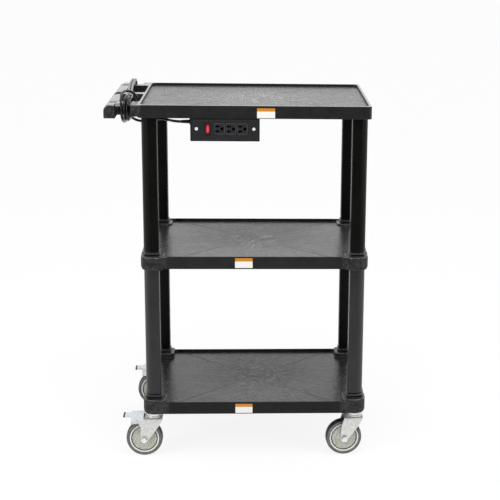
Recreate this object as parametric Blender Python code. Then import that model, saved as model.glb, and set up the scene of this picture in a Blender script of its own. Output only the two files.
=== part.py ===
"""Three-shelf utility cart in moulded structural foam, with a power outlet strip and braked swivel casters.

Metres, +Z up. The cart stands on the floor at z = 0, the handle is on the -X side and the outlets face -Y.
The origin is the middle of the cart's footprint, handle included.
"""

import math

import bmesh
import bpy
from mathutils import Matrix, Vector

# Driving dimensions of the shelves
shelf_width = 0.610
shelf_depth = 0.457
shelf_height = 0.034
top_rim_z = 0.980
middle_rim_z = 0.575
bottom_rim_z = 0.163
lip_width = 0.007
lip_depth = 0.0070
lip_draft = 0.0012
floor_thickness = 0.0045
skirt_wall = 0.0065
rib_thickness = 0.004
pocket_columns = 7
pocket_rows = 5
pocket_end_depth = 0.075
edge_round = 0.0022
top_corner_radius = 0.0095
tray_corner_radius = 0.014
face_setback = 0.0004

# Corner bosses that hold the legs and casters
boss_size = 0.062
boss_corner_radius = 0.028
boss_inner_radius = 0.010
boss_bottom_round = 0.010
boss_top_round = 0.0025
middle_boss_rise = -0.0025
bottom_boss_rise = 0.006
middle_boss_drop = 0.0076
bottom_boss_drop = 0.004
boss_overlap = 0.011

# Reinforcing bars under each shelf
bar_width = 0.0254
bar_thickness = 0.0064
bar_length = 0.520
bar_spacing = 0.170

# Legs, long side along X at the front and along Y at the back
leg_width = 0.0415
leg_depth = 0.028
leg_inset = 0.007
front_leg_inset = 0.018
back_leg_inset = 0.021
leg_flat = 0.021
leg_small_radius = 0.003
leg_wall = 0.0065
tenon_inset = 0.0034
tenon_length = 0.013
neck_inset = 0.0024
neck_height = 0.0030
collar_proud = 0.0022
collar_height = 0.0048

# Handle, moulded in one piece with the top shelf
handle_reach = 0.0865
handle_height = 0.031
handle_corner_round = 0.0025
grip_round = 0.0165
grip_drop = 0.005
body_reach = 0.017
arm_recess = 0.022
arm_thickness = 0.044
arm_nose_radius = 0.012
notch_width = 0.0407
bridge_thickness = 0.032
grip_width = 0.0335
finger_gap = 0.054
finger_corner_radius = 0.009
pad_rise = 0.0035
pad_end_gap = 0.0225
pad_gap = 0.034
pad_slope = 0.006
grip_hollow_wall = 0.006
grip_hollow_end = 0.0115

# Power outlet strip under the top shelf's front edge
strip_width = 0.1805
strip_height = 0.0595
strip_depth = 0.047
strip_offset = -0.07825
strip_setback = 0.002
strip_wall = 0.0035
plate_thickness = 0.0022
plate_recess = 0.0008
contents_rise = 0.0027
spare_shares = (0.1868, 0.2747, 0.1680, 0.1994)
outlet_width = 0.0258
outlet_height = 0.0293
outlet_depth = 0.024
outlet_pitch = 0.0296
outlet_flange = 0.0012
blade_slot_length = 0.0080
blade_slot_width = 0.0019
blade_spacing = 0.0127
blade_offset = 0.0062
ground_radius = 0.0025
ground_offset = 0.0062
slot_depth = 0.012
bezel_width = 0.0150
bezel_height = 0.0320
bezel_rim = 0.0022
bezel_proud = 0.0016
bezel_depth = 0.021
rocker_width = 0.0102
rocker_height = 0.0262
rocker_tilt_deg = 9.0
rocker_depth = 0.0050
rocker_lug_radius = 0.0016
rocker_dish_share = 0.55
screw_head_radius = 0.0042
screw_head_height = 0.0019
screw_shank_radius = 0.0019
screw_length = 0.012

# Mains lead
cord_diameter = 0.0070
cord_clearance = 0.0003
run_spacing = 0.0150
tail_spacing = 0.0205
gland_length = 0.024
gland_flange_radius = 0.0082
gland_nut_radius = 0.0064
gland_flange_height = 0.0025
gland_neck_radius = 0.0054
gland_tip_radius = 0.0044
gland_drop = 0.0115
gland_setback = 0.0245
plug_length = 0.034
plug_width = 0.026
plug_height = 0.018
plug_neck = 0.018
plug_neck_radius = 0.0052
plug_waist = 0.020
plug_corner_radius = 0.0045
plug_side = 0.039
plug_setback = 0.1235
plug_drop = 0.0275
pin_bridge = 0.0010
pin_length = 0.0170
pin_width = 0.0063
pin_thickness = 0.0015
ground_pin_radius = 0.0024
ground_pin_length = 0.0200
ground_pin_side = 0.0065
blade_side = 0.0055

# The winding round the handle's two arms: two layers, spiralling left and back again
hank_start = 0.0213
hank_half_turns = 7
hank_reverse_turn = 2.0
hank_climb_bulge = 0.25
hank_pitch = 0.0075
hank_fold_radius = 0.0210
hank_layer_step = 0.0077
hank_fold_inset = 0.0375
hank_top_sag = 0.0012
hank_bottom_sag = 0.0100
hank_skew = 0.017
hank_skew_inset = 0.0785
fold_points = 7
run_points = 5

# Casters: swivel axis, trail and wheel
caster_side_inset = 0.029
caster_end_inset = 0.0335
caster_trail = 0.0285
caster_heading_deg = {"fl": 0.0, "fr": 5.5, "bl": 0.0, "br": 0.0}
wheel_radius = 0.050
tyre_inner_radius = 0.0410
tyre_half_width = 0.0160
tread_half_width = 0.0060
hub_half_width = 0.0136
hub_boss_radius = 0.0115
hub_boss_half_width = 0.0186
hub_groove_radius = 0.0363
hub_groove_width = 0.0016
hub_groove_depth = 0.0030
hub_disc_half_width = 0.0126
hub_bore_radius = 0.0068
bushing_radius = 0.0060
bushing_bore_radius = 0.0046
axle_radius = 0.0040
axle_head_radius = 0.0080
axle_head_height = 0.0055
axle_washer_radius = 0.0098
axle_washer_height = 0.0016
axle_end = 0.0030
fork_thickness = 0.0026
fork_half_gap = 0.0195
fork_top_z = 0.1145
fork_bend_radius = 0.0065
fork_foot_radius = 0.0105
race_radius = 0.0215
race_inner_radius = 0.0120
race_top_z = 0.1176
crown_hole_radius = 0.0056
kingpin_radius = 0.0050
kingpin_head_radius = 0.0090
kingpin_head_height = 0.0032
mount_radius = 0.0240
mount_rim_height = 0.0024
stem_radius = 0.0055
stem_length = 0.0240
stem_clearance = 0.0004

# Brake pedals on the two casters under the handle
pedal_pivot_x = -0.050
pedal_pivot_z = 0.104
pedal_tip_x = -0.0855
pedal_back_x = -0.029
pedal_top_z = 0.1180
pedal_thickness = 0.0020
pedal_flange_depth = 0.0110
pedal_side_clearance = 0.0004
pedal_neck_x = -0.0640
pedal_tread_half_width = 0.0130
pedal_tread_flange = 0.0058
pedal_pin_radius = 0.0030
pedal_pin_clearance = 0.0004
pedal_pin_head_radius = 0.0052
pedal_pin_head_height = 0.0016
shoe_x = -0.0590
shoe_gap = 0.0036
shoe_thickness = 0.0030
shoe_half_width = 0.0120

# Fits and tool overruns
touch_gap = 0.0003
tenon_clearance = 0.0004
overrun = 0.004
round_steps = 3
boss_steps = 5
leg_steps = 4
small_steps = 2
wheel_steps = 24
turned_steps = 16
pin_steps = 12

# Levels and places that follow from the sizes above
shelf_centre_x = handle_reach / 2
half_width = shelf_width / 2
half_depth = shelf_depth / 2
rim_levels = {"top": top_rim_z, "middle": middle_rim_z, "bottom": bottom_rim_z}
boss_rises = {"middle": middle_boss_rise, "bottom": bottom_boss_rise}
boss_drops = {"middle": middle_boss_drop, "bottom": bottom_boss_drop}
caster_top_z = bottom_rim_z - shelf_height - bottom_boss_drop
corners = {"fl": (-1, -1), "fr": (1, -1), "bl": (-1, 1), "br": (1, 1)}
pad_end = half_depth - arm_recess - arm_thickness / 2 - pad_end_gap
grip_hollow_far = half_depth - arm_recess - arm_thickness - grip_hollow_end
strip_left = shelf_centre_x + strip_offset - strip_width / 2
strip_front = -half_depth + strip_setback
strip_top = top_rim_z - shelf_height - touch_gap
strip_middle_z = strip_top - strip_height / 2
contents_z = strip_middle_z + contents_rise
plate_front = strip_front + plate_recess
strip_spare = strip_width - 4 * screw_head_radius - bezel_width - outlet_width - 2 * outlet_pitch
strip_gaps = [share * strip_spare for share in spare_shares]
screw_first = strip_gaps[0] + screw_head_radius
switch_centre = screw_first + screw_head_radius + strip_gaps[1] + bezel_width / 2
outlet_first = switch_centre + bezel_width / 2 + strip_gaps[2] + outlet_width / 2
outlet_last = outlet_first + 2 * outlet_pitch
screw_last = outlet_last + outlet_width / 2 + strip_gaps[3] + screw_head_radius
gland_height = strip_top - gland_drop
gland_forward = -half_depth + gland_setback
plug_centre_x = -half_width - plug_side
plug_front_y = half_depth - plug_setback
plug_z = top_rim_z - plug_drop
hank_start_x = -half_width - hank_start
hank_fold_y = half_depth - hank_fold_inset
hank_skew_reach = half_depth - hank_skew_inset
caster_x = half_width - caster_side_inset
caster_y = half_depth - caster_end_inset
cord_radius = cord_diameter / 2
fold_share = math.pi * hank_fold_radius / (2 * (math.pi * hank_fold_radius + 2 * hank_fold_y))
climb_start = hank_reverse_turn - 0.5 + fold_share

finishes = {
    "foam_plastic": ((0.020, 0.020, 0.021), 0.55, 0.0),
    "power_housing": ((0.012, 0.012, 0.013), 0.45, 0.0),
    "faceplate": ((0.022, 0.022, 0.024), 0.50, 0.0),
    "outlet": ((0.013, 0.013, 0.014), 0.35, 0.0),
    "switch": ((0.60, 0.030, 0.030), 0.30, 0.0),
    "bright_screw": ((0.75, 0.75, 0.76), 0.25, 1.0),
    "cord_jacket": ((0.008, 0.008, 0.008), 0.45, 0.0),
    "brass_pin": ((0.70, 0.58, 0.35), 0.30, 1.0),
    "aluminium_bar": ((0.70, 0.71, 0.73), 0.40, 1.0),
    "zinc": ((0.68, 0.69, 0.70), 0.35, 1.0),
    "wheel_hub": ((0.42, 0.42, 0.38), 0.50, 0.0),
    "tyre": ((0.16, 0.16, 0.155), 0.60, 0.0),
    "pedal_tip": ((0.05, 0.05, 0.05), 0.50, 0.0),
}


def clear_scene():
    for thing in list(bpy.data.objects):
        bpy.data.objects.remove(thing, do_unlink=True)


def material_for(name, finish):
    colour, roughness, metallic = finishes[finish]
    made = bpy.data.materials.new(name + "_" + finish)
    made.use_nodes = True
    shader = made.node_tree.nodes["Principled BSDF"]
    shader.inputs["Base Color"].default_value = (*colour, 1.0)
    shader.inputs["Roughness"].default_value = roughness
    shader.inputs["Metallic"].default_value = metallic
    made.diffuse_color = (*colour, 1.0)
    return made


def solid(name, bm, finish=None):
    """Makes an object of the faces in bm, shaded smooth with its edges kept sharp."""
    bmesh.ops.remove_doubles(bm, verts=bm.verts, dist=touch_gap / 100)
    bmesh.ops.recalc_face_normals(bm, faces=bm.faces)
    mesh = bpy.data.meshes.new(name)
    bm.to_mesh(mesh)
    bm.free()
    thing = bpy.data.objects.new(name, mesh)
    bpy.context.scene.collection.objects.link(thing)
    if finish:
        mesh.materials.append(material_for(name, finish))
        mesh.shade_smooth()
        mesh.set_sharp_from_angle(angle=math.radians(32))
    return thing


def combine(thing, tool, operation="DIFFERENCE"):
    """Cuts tool from thing, joins it to thing, or keeps what they share, and removes tool."""
    modifier = thing.modifiers.new(operation.lower(), "BOOLEAN")
    modifier.operation = operation
    modifier.solver = "EXACT"
    modifier.object = tool
    bpy.context.view_layer.update()
    evaluated = thing.evaluated_get(bpy.context.evaluated_depsgraph_get())
    result = bpy.data.meshes.new_from_object(evaluated)
    thing.modifiers.clear()
    thing.data = result
    bpy.data.objects.remove(tool, do_unlink=True)
    if result.materials:
        result.shade_smooth()
        result.set_sharp_from_angle(angle=math.radians(32))
    return thing


def same_shape(name, source, finish):
    """A copy of a finished piece's mesh, as an object of its own."""
    copy = bpy.data.objects.new(name, source.data.copy())
    bpy.context.scene.collection.objects.link(copy)
    copy.data.materials.clear()
    copy.data.materials.append(material_for(name, finish))
    return copy


def anchor(name, place, heading_deg=0.0):
    """An empty that carries a moving group; its origin lies on the joint's axis."""
    empty = bpy.data.objects.new(name, None)
    bpy.context.scene.collection.objects.link(empty)
    empty.location = place
    empty.rotation_euler = (0.0, 0.0, math.radians(heading_deg))
    return empty


def carried_by(piece, parent):
    piece.parent = parent
    return piece


def bridge(bm, lower, upper):
    count = len(lower)
    for i in range(count):
        j = (i + 1) % count
        bm.faces.new((lower[i], lower[j], upper[j], upper[i]))


def loft(rings, closed=False):
    """A skin through rings of equally many points, capped at both ends or closed on itself."""
    bm = bmesh.new()
    made = [[bm.verts.new(point) for point in ring] for ring in rings]
    for lower, upper in zip(made, made[1:]):
        bridge(bm, lower, upper)
    if closed:
        bridge(bm, made[-1], made[0])
    else:
        bm.faces.new(list(reversed(made[0])))
        bm.faces.new(made[-1])
    return bm


def prism(outline, low, high, along="z"):
    """Extrudes a flat outline. Its two numbers are x, y along z; x, z along y; and y, z along x."""
    place = {
        "z": lambda a, b, c: Vector((a, b, c)),
        "y": lambda a, b, c: Vector((a, c, b)),
        "x": lambda a, b, c: Vector((c, a, b)),
    }[along]
    return loft([[place(a, b, level) for a, b in outline] for level in (low, high)])


def revolve(profile, steps, axis="z", closed=False):
    """Turns a profile of (radius, height) points; a radius of zero becomes one point on the axis."""
    bm = bmesh.new()
    place = {
        "z": lambda x, y, h: Vector((x, y, h)),
        "y": lambda x, y, h: Vector((x, h, y)),
        "x": lambda x, y, h: Vector((h, x, y)),
    }[axis]
    rings = []
    for radius, height in profile:
        if radius == 0:
            rings.append([bm.verts.new(place(0, 0, height))])
            continue
        turn = [2 * math.pi * i / steps - math.pi / 2 for i in range(steps)]
        rings.append([bm.verts.new(place(radius * math.cos(a), radius * math.sin(a), height)) for a in turn])
    pairs = list(zip(rings, rings[1:]))
    if closed:
        pairs.append((rings[-1], rings[0]))
    for lower, upper in pairs:
        if len(lower) == 1:
            for i in range(steps):
                bm.faces.new((lower[0], upper[(i + 1) % steps], upper[i]))
        elif len(upper) == 1:
            for i in range(steps):
                bm.faces.new((lower[i], lower[(i + 1) % steps], upper[0]))
        else:
            bridge(bm, lower, upper)
    return bm


def moved(bm, offset):
    bmesh.ops.translate(bm, verts=bm.verts, vec=Vector(offset))
    return bm


def joined(shapes):
    """One bmesh that holds several separate closed shapes."""
    bm = bmesh.new()
    for shape in shapes:
        mesh = bpy.data.meshes.new("part_of_group")
        shape.to_mesh(mesh)
        shape.free()
        bm.from_mesh(mesh)
        bpy.data.meshes.remove(mesh)
    return bm


def arc(centre, radius, start_deg, end_deg, steps, second_radius=None):
    """Points along a circle's or an ellipse's arc, both ends included."""
    other = radius if second_radius is None else second_radius
    points = []
    for i in range(steps + 1):
        angle = math.radians(start_deg + (end_deg - start_deg) * i / steps)
        points.append((centre[0] + radius * math.cos(angle), centre[1] + other * math.sin(angle)))
    return points


def round_box(x0, x1, y0, y1, radii, steps=round_steps):
    """A rectangle's outline from its -x -y corner, with one radius and step count, or four of each."""
    r0, r1, r2, r3 = radii if isinstance(radii, tuple) else (radii,) * 4
    s0, s1, s2, s3 = steps if isinstance(steps, tuple) else (steps,) * 4
    return (
        arc((x0 + r0, y0 + r0), r0, 180, 270, s0)
        + arc((x1 - r1, y0 + r1), r1, 270, 360, s1)
        + arc((x1 - r2, y1 - r2), r2, 0, 90, s2)
        + arc((x0 + r3, y1 - r3), r3, 90, 180, s3)
    )


def box(x0, x1, y0, y1, z0, z1):
    return prism([(x0, y0), (x1, y0), (x1, y1), (x0, y1)], z0, z1)


def at_level(outline, z):
    return [Vector((x, y, z)) for x, y in outline]


def rounded_slab(outline_at, low, high, bottom_round, top_round):
    """A block whose bottom and top edges are rounded; outline_at gives the outline at an inset."""
    slope = math.cos(math.radians(45))
    rings = [
        at_level(outline_at(bottom_round), low),
        at_level(outline_at(bottom_round * (1 - slope)), low + bottom_round * (1 - slope)),
        at_level(outline_at(0), low + bottom_round),
        at_level(outline_at(0), high - top_round),
        at_level(outline_at(top_round * (1 - slope)), high - top_round * (1 - slope)),
        at_level(outline_at(top_round), high),
    ]
    return loft(rings)


def mirrored(outline, sx, sy):
    """The outline mirrored about one or both axes, kept anticlockwise."""
    points = [(x * sx, y * sy) for x, y in outline]
    return points if sx * sy > 0 else points[::-1]


def leg_outline(inset):
    """The front-left leg's section about its middle: flat front, small corners, one big elliptical corner."""
    x1 = leg_width / 2 - inset
    y1 = leg_depth / 2 - inset
    radius = leg_small_radius
    big_x = leg_width - leg_flat - inset
    big_y = leg_depth - radius - 2 * inset
    return (
        arc((x1 - radius, -y1 + radius), radius, 270, 360, 1)
        + arc((x1 - radius, y1 - radius), radius, 0, 90, 1)
        + arc((-x1 + radius, y1 - radius), radius, 90, 180, 1)
        + arc((-x1 + big_x, -y1 + big_y), big_x, 180, 270, leg_steps, big_y)[1:]
    )


def leg_section(corner, inset):
    """The leg's section placed at its corner of the cart: turned a quarter at the back."""
    sx, sy = corners[corner]
    points = leg_outline(inset)
    if sy > 0:
        points = [(y, -x) for x, y in points]
        points = mirrored(points, -sx, 1)
    else:
        points = mirrored(points, -sx, 1)
    cx, cy = leg_centre(corner)
    return [(x + cx, y + cy) for x, y in points]


def leg_centre(corner):
    """Front legs stand leg_inset in from the side, back legs leg_inset in from the back."""
    sx, sy = corners[corner]
    if sy < 0:
        from_side = leg_inset + leg_width / 2
        from_end = front_leg_inset + leg_depth / 2
    else:
        from_side = back_leg_inset + leg_depth / 2
        from_end = leg_inset + leg_width / 2
    return shelf_centre_x + sx * (half_width - from_side), sy * (half_depth - from_end)


def boss_outline(corner, inset, proud=0.0):
    """A corner boss's outline: large outer corner, small inner corners."""
    sx, sy = corners[corner]
    x_out = half_width + proud
    y_out = half_depth + proud
    far = [(x_out - boss_size, x_out), (y_out - boss_size, y_out)]
    outline = round_box(
        far[0][0] + inset,
        far[0][1] - inset,
        far[1][0] + inset,
        far[1][1] - inset,
        (boss_inner_radius, boss_inner_radius, boss_corner_radius - inset, boss_inner_radius),
        (small_steps, small_steps, boss_steps, small_steps),
    )
    return [(x + shelf_centre_x, y) for x, y in mirrored(outline, sx, sy)]


def tray_tool(rim_z):
    """Cuts the shelf's tray: a floor with a lip all round, its wall drafted."""

    def outline(inset):
        side = lip_width + inset
        radius = tray_corner_radius - inset
        return round_box(
            shelf_centre_x - half_width + side,
            shelf_centre_x + half_width - side,
            -half_depth + side,
            half_depth - side,
            radius,
        )

    rings = [
        at_level(outline(lip_draft), rim_z - lip_depth),
        at_level(outline(0), rim_z),
        at_level(outline(0), rim_z + overrun),
    ]
    return loft(rings)


def pocket_tool(rim_z, keep_corners):
    """Cuts the underside into pockets and leaves the skirt, the ribs and the corner blocks."""
    x0 = shelf_centre_x - half_width + skirt_wall
    x1 = shelf_centre_x + half_width - skirt_wall
    y0 = -half_depth + skirt_wall
    y1 = half_depth - skirt_wall
    low = rim_z - shelf_height - overrun
    high = rim_z - lip_depth - floor_thickness
    end_x = keep_corners + rib_thickness - skirt_wall
    end_y = pocket_end_depth
    inner_x = (x1 - x0 - 2 * end_x) / (pocket_columns - 2)
    inner_y = (y1 - y0 - 2 * end_y) / (pocket_rows - 2)
    xs = [x0] + [x0 + end_x + inner_x * i for i in range(pocket_columns - 1)] + [x1]
    ys = [y0] + [y0 + end_y + inner_y * i for i in range(pocket_rows - 1)] + [y1]
    shapes = []
    for i in range(pocket_columns):
        for j in range(pocket_rows):
            if i in (0, pocket_columns - 1) and j in (0, pocket_rows - 1):
                continue
            left = xs[i] + (rib_thickness / 2 if i else 0)
            right = xs[i + 1] - (rib_thickness / 2 if i < pocket_columns - 1 else 0)
            near = ys[j] + (rib_thickness / 2 if j else 0)
            far = ys[j + 1] - (rib_thickness / 2 if j < pocket_rows - 1 else 0)
            shapes.append(box(left, right, near, far, low, high))
    return joined(shapes)


def bar_box(rim_z, side, clearance=0.0):
    """A bar let into the ribs from below, or with a clearance the slot that takes it."""
    low = rim_z - shelf_height
    half_length = bar_length / 2 + clearance
    half_bar = bar_width / 2 + clearance
    y = side * bar_spacing / 2
    bottom = low - (overrun if clearance else 0)
    top = low + bar_thickness + clearance
    return box(shelf_centre_x - half_length, shelf_centre_x + half_length, y - half_bar, y + half_bar, bottom, top)


def bar_slots(rim_z):
    return joined([bar_box(rim_z, side, touch_gap) for side in (-1, 1)])


def tenon_tool(corner, low, high):
    outline = leg_section(corner, tenon_inset - tenon_clearance)
    return prism(outline, low, high)


def make_lower_shelf(level):
    """The middle or bottom shelf: a cross-shaped slab joined to four corner bosses."""
    name = level + "_shelf"
    rim_z = rim_levels[level]
    low = rim_z - shelf_height
    notch = boss_size - boss_overlap

    def cross_outline(inset):
        x_out = half_width - face_setback - inset
        y_out = half_depth - face_setback - inset
        x_in = half_width - notch
        y_in = half_depth - notch
        points = []
        for sx, sy in ((1, -1), (1, 1), (-1, 1), (-1, -1)):
            corner = [(sx * x_in, sy * y_out), (sx * x_in, sy * y_in), (sx * x_out, sy * y_in)]
            points += corner if sx * sy < 0 else corner[::-1]
        return [(x + shelf_centre_x, y) for x, y in points]

    shelf = solid(name, rounded_slab(cross_outline, low, rim_z, edge_round / 2, edge_round), "foam_plastic")
    combine(shelf, solid("tray_tool", tray_tool(rim_z)))
    combine(shelf, solid("pocket_tool", pocket_tool(rim_z, boss_size)))
    boss_top = rim_z + boss_rises[level]
    boss_low = low - boss_drops[level]
    for corner in corners:
        outline = lambda inset, corner=corner: boss_outline(corner, inset)
        boss = rounded_slab(outline, boss_low, boss_top, boss_bottom_round, boss_top_round)
        combine(shelf, solid("boss", boss), "UNION")
    tenons = [tenon_tool(corner, boss_top - tenon_length - tenon_clearance, boss_top + overrun) for corner in corners]
    combine(shelf, solid("upper_sockets", joined(tenons)))
    if level == "middle":
        tenons = [tenon_tool(corner, boss_low - overrun, boss_low + tenon_length + tenon_clearance) for corner in corners]
        combine(shelf, solid("lower_sockets", joined(tenons)))
    else:
        stems = []
        for corner in corners:
            x, y = caster_place(corner)
            radius = stem_radius + stem_clearance
            profile = [(0, -overrun), (radius, -overrun), (radius, stem_length + stem_clearance)]
            profile.append((0, stem_length + stem_clearance))
            stems.append(moved(revolve(profile, pin_steps), (x, y, boss_low)))
        combine(shelf, solid("stem_holes", joined(stems)))
    combine(shelf, solid("bar_slots", bar_slots(rim_z)))
    return shelf


def handle_section():
    """The handle's section from the side: the grip deeper than the arms, its outer top edge well rounded."""
    x0 = shelf_centre_x - half_width - handle_reach
    x1 = shelf_centre_x - half_width + boss_overlap
    z0 = top_rim_z - handle_height
    z1 = top_rim_z
    small = handle_corner_round
    inner = x0 + grip_width
    under = z0 - grip_drop
    return (
        arc((x0 + small, under + small), small, 180, 270, 2)
        + [(inner, under), (inner, z0), (x1, z0), (x1, z1)]
        + arc((x0 + grip_round, z1 - grip_round), grip_round, 90, 180, 5)
    )


def shrunk(outline, inset):
    """An outline moved inwards by an inset, edge by edge."""
    count = len(outline)
    result = []
    for i in range(count):
        before = Vector(outline[i - 1])
        here = Vector(outline[i])
        after = Vector(outline[(i + 1) % count])
        first = (here - before).normalized()
        second = (after - here).normalized()
        inward = Vector((-first.y - second.y, first.x + second.x))
        inward.normalize()
        share = inward.dot(Vector((-first.y, first.x)))
        result.append(tuple(here + inward * (inset / share)))
    return result


def handle_blank():
    small = handle_corner_round
    section = handle_section()
    y_out = half_depth - face_setback
    slices = [
        (-y_out, small),
        (-y_out + small, 0.0),
        (y_out - small, 0.0),
        (y_out, small),
    ]
    rings = [[Vector((x, y, z)) for x, z in shrunk(section, inset)] for y, inset in slices]
    return loft(rings)


def finger_tool(side):
    x1 = shelf_centre_x - half_width - handle_reach + grip_width + finger_gap
    y0 = bridge_thickness / 2
    y1 = half_depth - arm_recess - arm_thickness
    outline = round_box(x1 - finger_gap, x1, y0, y1, finger_corner_radius)
    outline = mirrored(outline, 1, side)
    return prism(outline, top_rim_z - handle_height - grip_drop - overrun, top_rim_z + overrun)


def notch_tool(side):
    """Cuts the cord-wrap notch, the grip's deeper part beside the arm, and rounds the arm's nose."""
    x1 = shelf_centre_x - half_width - body_reach
    z0 = top_rim_z - handle_height
    z1 = top_rim_z
    nose = -half_depth + arm_recess
    radius = arm_nose_radius
    far = -half_depth - overrun
    low = z0 - grip_drop - overrun
    outline = [(far, low), (nose + arm_thickness, low), (nose + arm_thickness, z0), (nose + radius, z0)]
    outline += arc((nose + radius, z0 + radius), radius, 270, 180, 4)[1:]
    outline += arc((nose + radius, z1 - radius), radius, 180, 90, 4)
    outline += [(nose + radius, z1 + overrun), (far, z1 + overrun)]
    outline = [(y * -side, z) for y, z in outline]
    return prism(outline, x1 - notch_width, x1, "x")


def pad_tools():
    """Cuts the grip's top down between and beyond the two raised pads."""
    x0 = shelf_centre_x - half_width - handle_reach - overrun
    x1 = x0 + overrun + grip_width - handle_corner_round
    z0 = top_rim_z - pad_rise
    z1 = top_rim_z + overrun
    rise = (z1 - z0) / pad_rise * pad_slope
    end_block = half_depth - arm_recess - arm_thickness / 2
    spans = [(-pad_gap / 2, pad_gap / 2), (pad_end, end_block), (-end_block, -pad_end)]
    shapes = []
    for low, high in spans:
        outline = [(low, z0), (high, z0), (high + rise, z1), (low - rise, z1)]
        shapes.append(prism(outline, x0, x1, "x"))
    return joined(shapes)


def grip_hollow_tools():
    """Two hollows in the underside of the grip, as the moulding tool leaves them."""
    x0 = shelf_centre_x - half_width - handle_reach + grip_hollow_wall
    x1 = shelf_centre_x - half_width - handle_reach + grip_width - grip_hollow_wall
    low = top_rim_z - handle_height - grip_drop - overrun
    high = top_rim_z - grip_round
    shapes = []
    for side in (-1, 1):
        y0, y1 = sorted((side * bridge_thickness / 2, side * grip_hollow_far))
        shapes.append(box(x0, x1, y0, y1, low, high))
    return joined(shapes)


def make_top_shelf():
    """The top shelf and the handle are one moulding."""
    low = top_rim_z - shelf_height

    def outline(inset):
        return round_box(
            shelf_centre_x - half_width + inset,
            shelf_centre_x + half_width - inset,
            -half_depth + face_setback + inset,
            half_depth - face_setback - inset,
            top_corner_radius - inset,
        )

    shelf = solid("top_shelf", rounded_slab(outline, low, top_rim_z, edge_round / 2, edge_round), "foam_plastic")
    combine(shelf, solid("handle_blank", handle_blank()), "UNION")
    combine(shelf, solid("tray_tool", tray_tool(top_rim_z)))
    combine(shelf, solid("pocket_tool", pocket_tool(top_rim_z, boss_size)))
    for side in (-1, 1):
        combine(shelf, solid("finger_tool", finger_tool(side)))
        combine(shelf, solid("notch_tool", notch_tool(side)))
    combine(shelf, solid("pad_tools", pad_tools()))
    combine(shelf, solid("grip_hollows", grip_hollow_tools()))
    tenons = [tenon_tool(corner, low - overrun, low + tenon_length + tenon_clearance) for corner in corners]
    combine(shelf, solid("sockets", joined(tenons)))
    combine(shelf, solid("bar_slots", bar_slots(top_rim_z)))
    return shelf


def make_leg(name, corner, foot_z, head_z):
    """A hollow leg: tenons at both ends, a foot collar with a shadow groove above and below it."""
    low = foot_z + touch_gap
    high = head_z - touch_gap
    collar_low = low + neck_height
    collar_high = collar_low + collar_height
    levels = [
        (tenon_inset, foot_z - tenon_length),
        (tenon_inset, low),
        (neck_inset, low),
        (neck_inset, collar_low),
        (-collar_proud, collar_low),
        (-collar_proud, collar_high),
        (neck_inset, collar_high),
        (neck_inset, collar_high + neck_height),
        (0.0, collar_high + neck_height),
        (0.0, high),
        (tenon_inset, high),
        (tenon_inset, head_z + tenon_length),
        (leg_wall, head_z + tenon_length),
        (leg_wall, foot_z - tenon_length),
    ]
    rings = [at_level(leg_section(corner, inset), z) for inset, z in levels]
    return solid(name, loft(rings, closed=True), "foam_plastic")


def make_legs():
    middle_low = middle_rim_z - shelf_height - middle_boss_drop
    for corner in corners:
        make_leg("leg_lower_" + corner, corner, bottom_rim_z + bottom_boss_rise, middle_low)
        make_leg("leg_upper_" + corner, corner, middle_rim_z + middle_boss_rise, top_rim_z - shelf_height)


def make_bars():
    for level, rim_z in rim_levels.items():
        solid(level + "_shelf_bar_front", bar_box(rim_z, -1), "aluminium_bar")
        solid(level + "_shelf_bar_back", bar_box(rim_z, 1), "aluminium_bar")


def upright_box(x, half_x, z, half_z, y0, y1, radius):
    """A block with rounded corners seen from the front, between two depths."""
    outline = round_box(x - half_x, x + half_x, z - half_z, z + half_z, radius, 2)
    return prism(outline, y0, y1, "y")


def make_housing():
    """The strip's housing: a box with an open front and a hole in its left end for the lead."""
    x = strip_left + strip_width / 2
    back = strip_front + strip_depth
    outer = upright_box(x, strip_width / 2, strip_middle_z, strip_height / 2, strip_front, back, strip_wall / 2)
    housing = solid("power_housing", outer, "power_housing")
    half_x = strip_width / 2 - strip_wall
    half_z = strip_height / 2 - strip_wall
    cavity = upright_box(
        x, half_x, strip_middle_z, half_z, strip_front - overrun, back - strip_wall, strip_wall / 2
    )
    combine(housing, solid("cavity", cavity))
    hole = gland_neck_radius + touch_gap
    reach = strip_wall + overrun
    profile = [(0, -reach), (hole, -reach), (hole, reach), (0, reach)]
    bore = moved(revolve(profile, pin_steps, "x"), (strip_left, gland_forward, gland_height))
    return combine(housing, solid("gland_hole", bore))


def outlet_places():
    return [strip_left + outlet_first + outlet_pitch * i for i in range(3)]


def make_faceplate():
    """The plate that closes the strip: cut out for three outlets and the switch, drilled for two screws."""
    x = strip_left + strip_width / 2
    half_x = strip_width / 2 - strip_wall - touch_gap
    half_z = strip_height / 2 - strip_wall - touch_gap
    plate_back = plate_front + plate_thickness
    radius = strip_wall / 2 - touch_gap
    blank = upright_box(x, half_x, strip_middle_z, half_z, plate_front, plate_back, radius)
    plate = solid("power_faceplate", blank, "faceplate")
    y0 = plate_front - overrun
    y1 = plate_back + overrun
    shapes = []
    for place in outlet_places():
        half = outlet_width / 2 + touch_gap
        shapes.append(box(place - half, place + half, y0, y1, *around(outlet_height / 2 + touch_gap)))
    place = strip_left + switch_centre
    half = bezel_width / 2 - bezel_rim / 2 + touch_gap
    shapes.append(box(place - half, place + half, y0, y1, *around(bezel_height / 2 - bezel_rim / 2 + touch_gap)))
    for first in (screw_first, screw_last):
        radius = screw_shank_radius + touch_gap
        profile = [(0, y0), (radius, y0), (radius, y1), (0, y1)]
        shapes.append(moved(revolve(profile, pin_steps, "y"), (strip_left + first, 0, contents_z)))
    return combine(plate, solid("plate_holes", joined(shapes)))


def around(half):
    """The two levels that lie this far below and above the middle of the outlets and the switch."""
    return contents_z - half, contents_z + half


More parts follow.
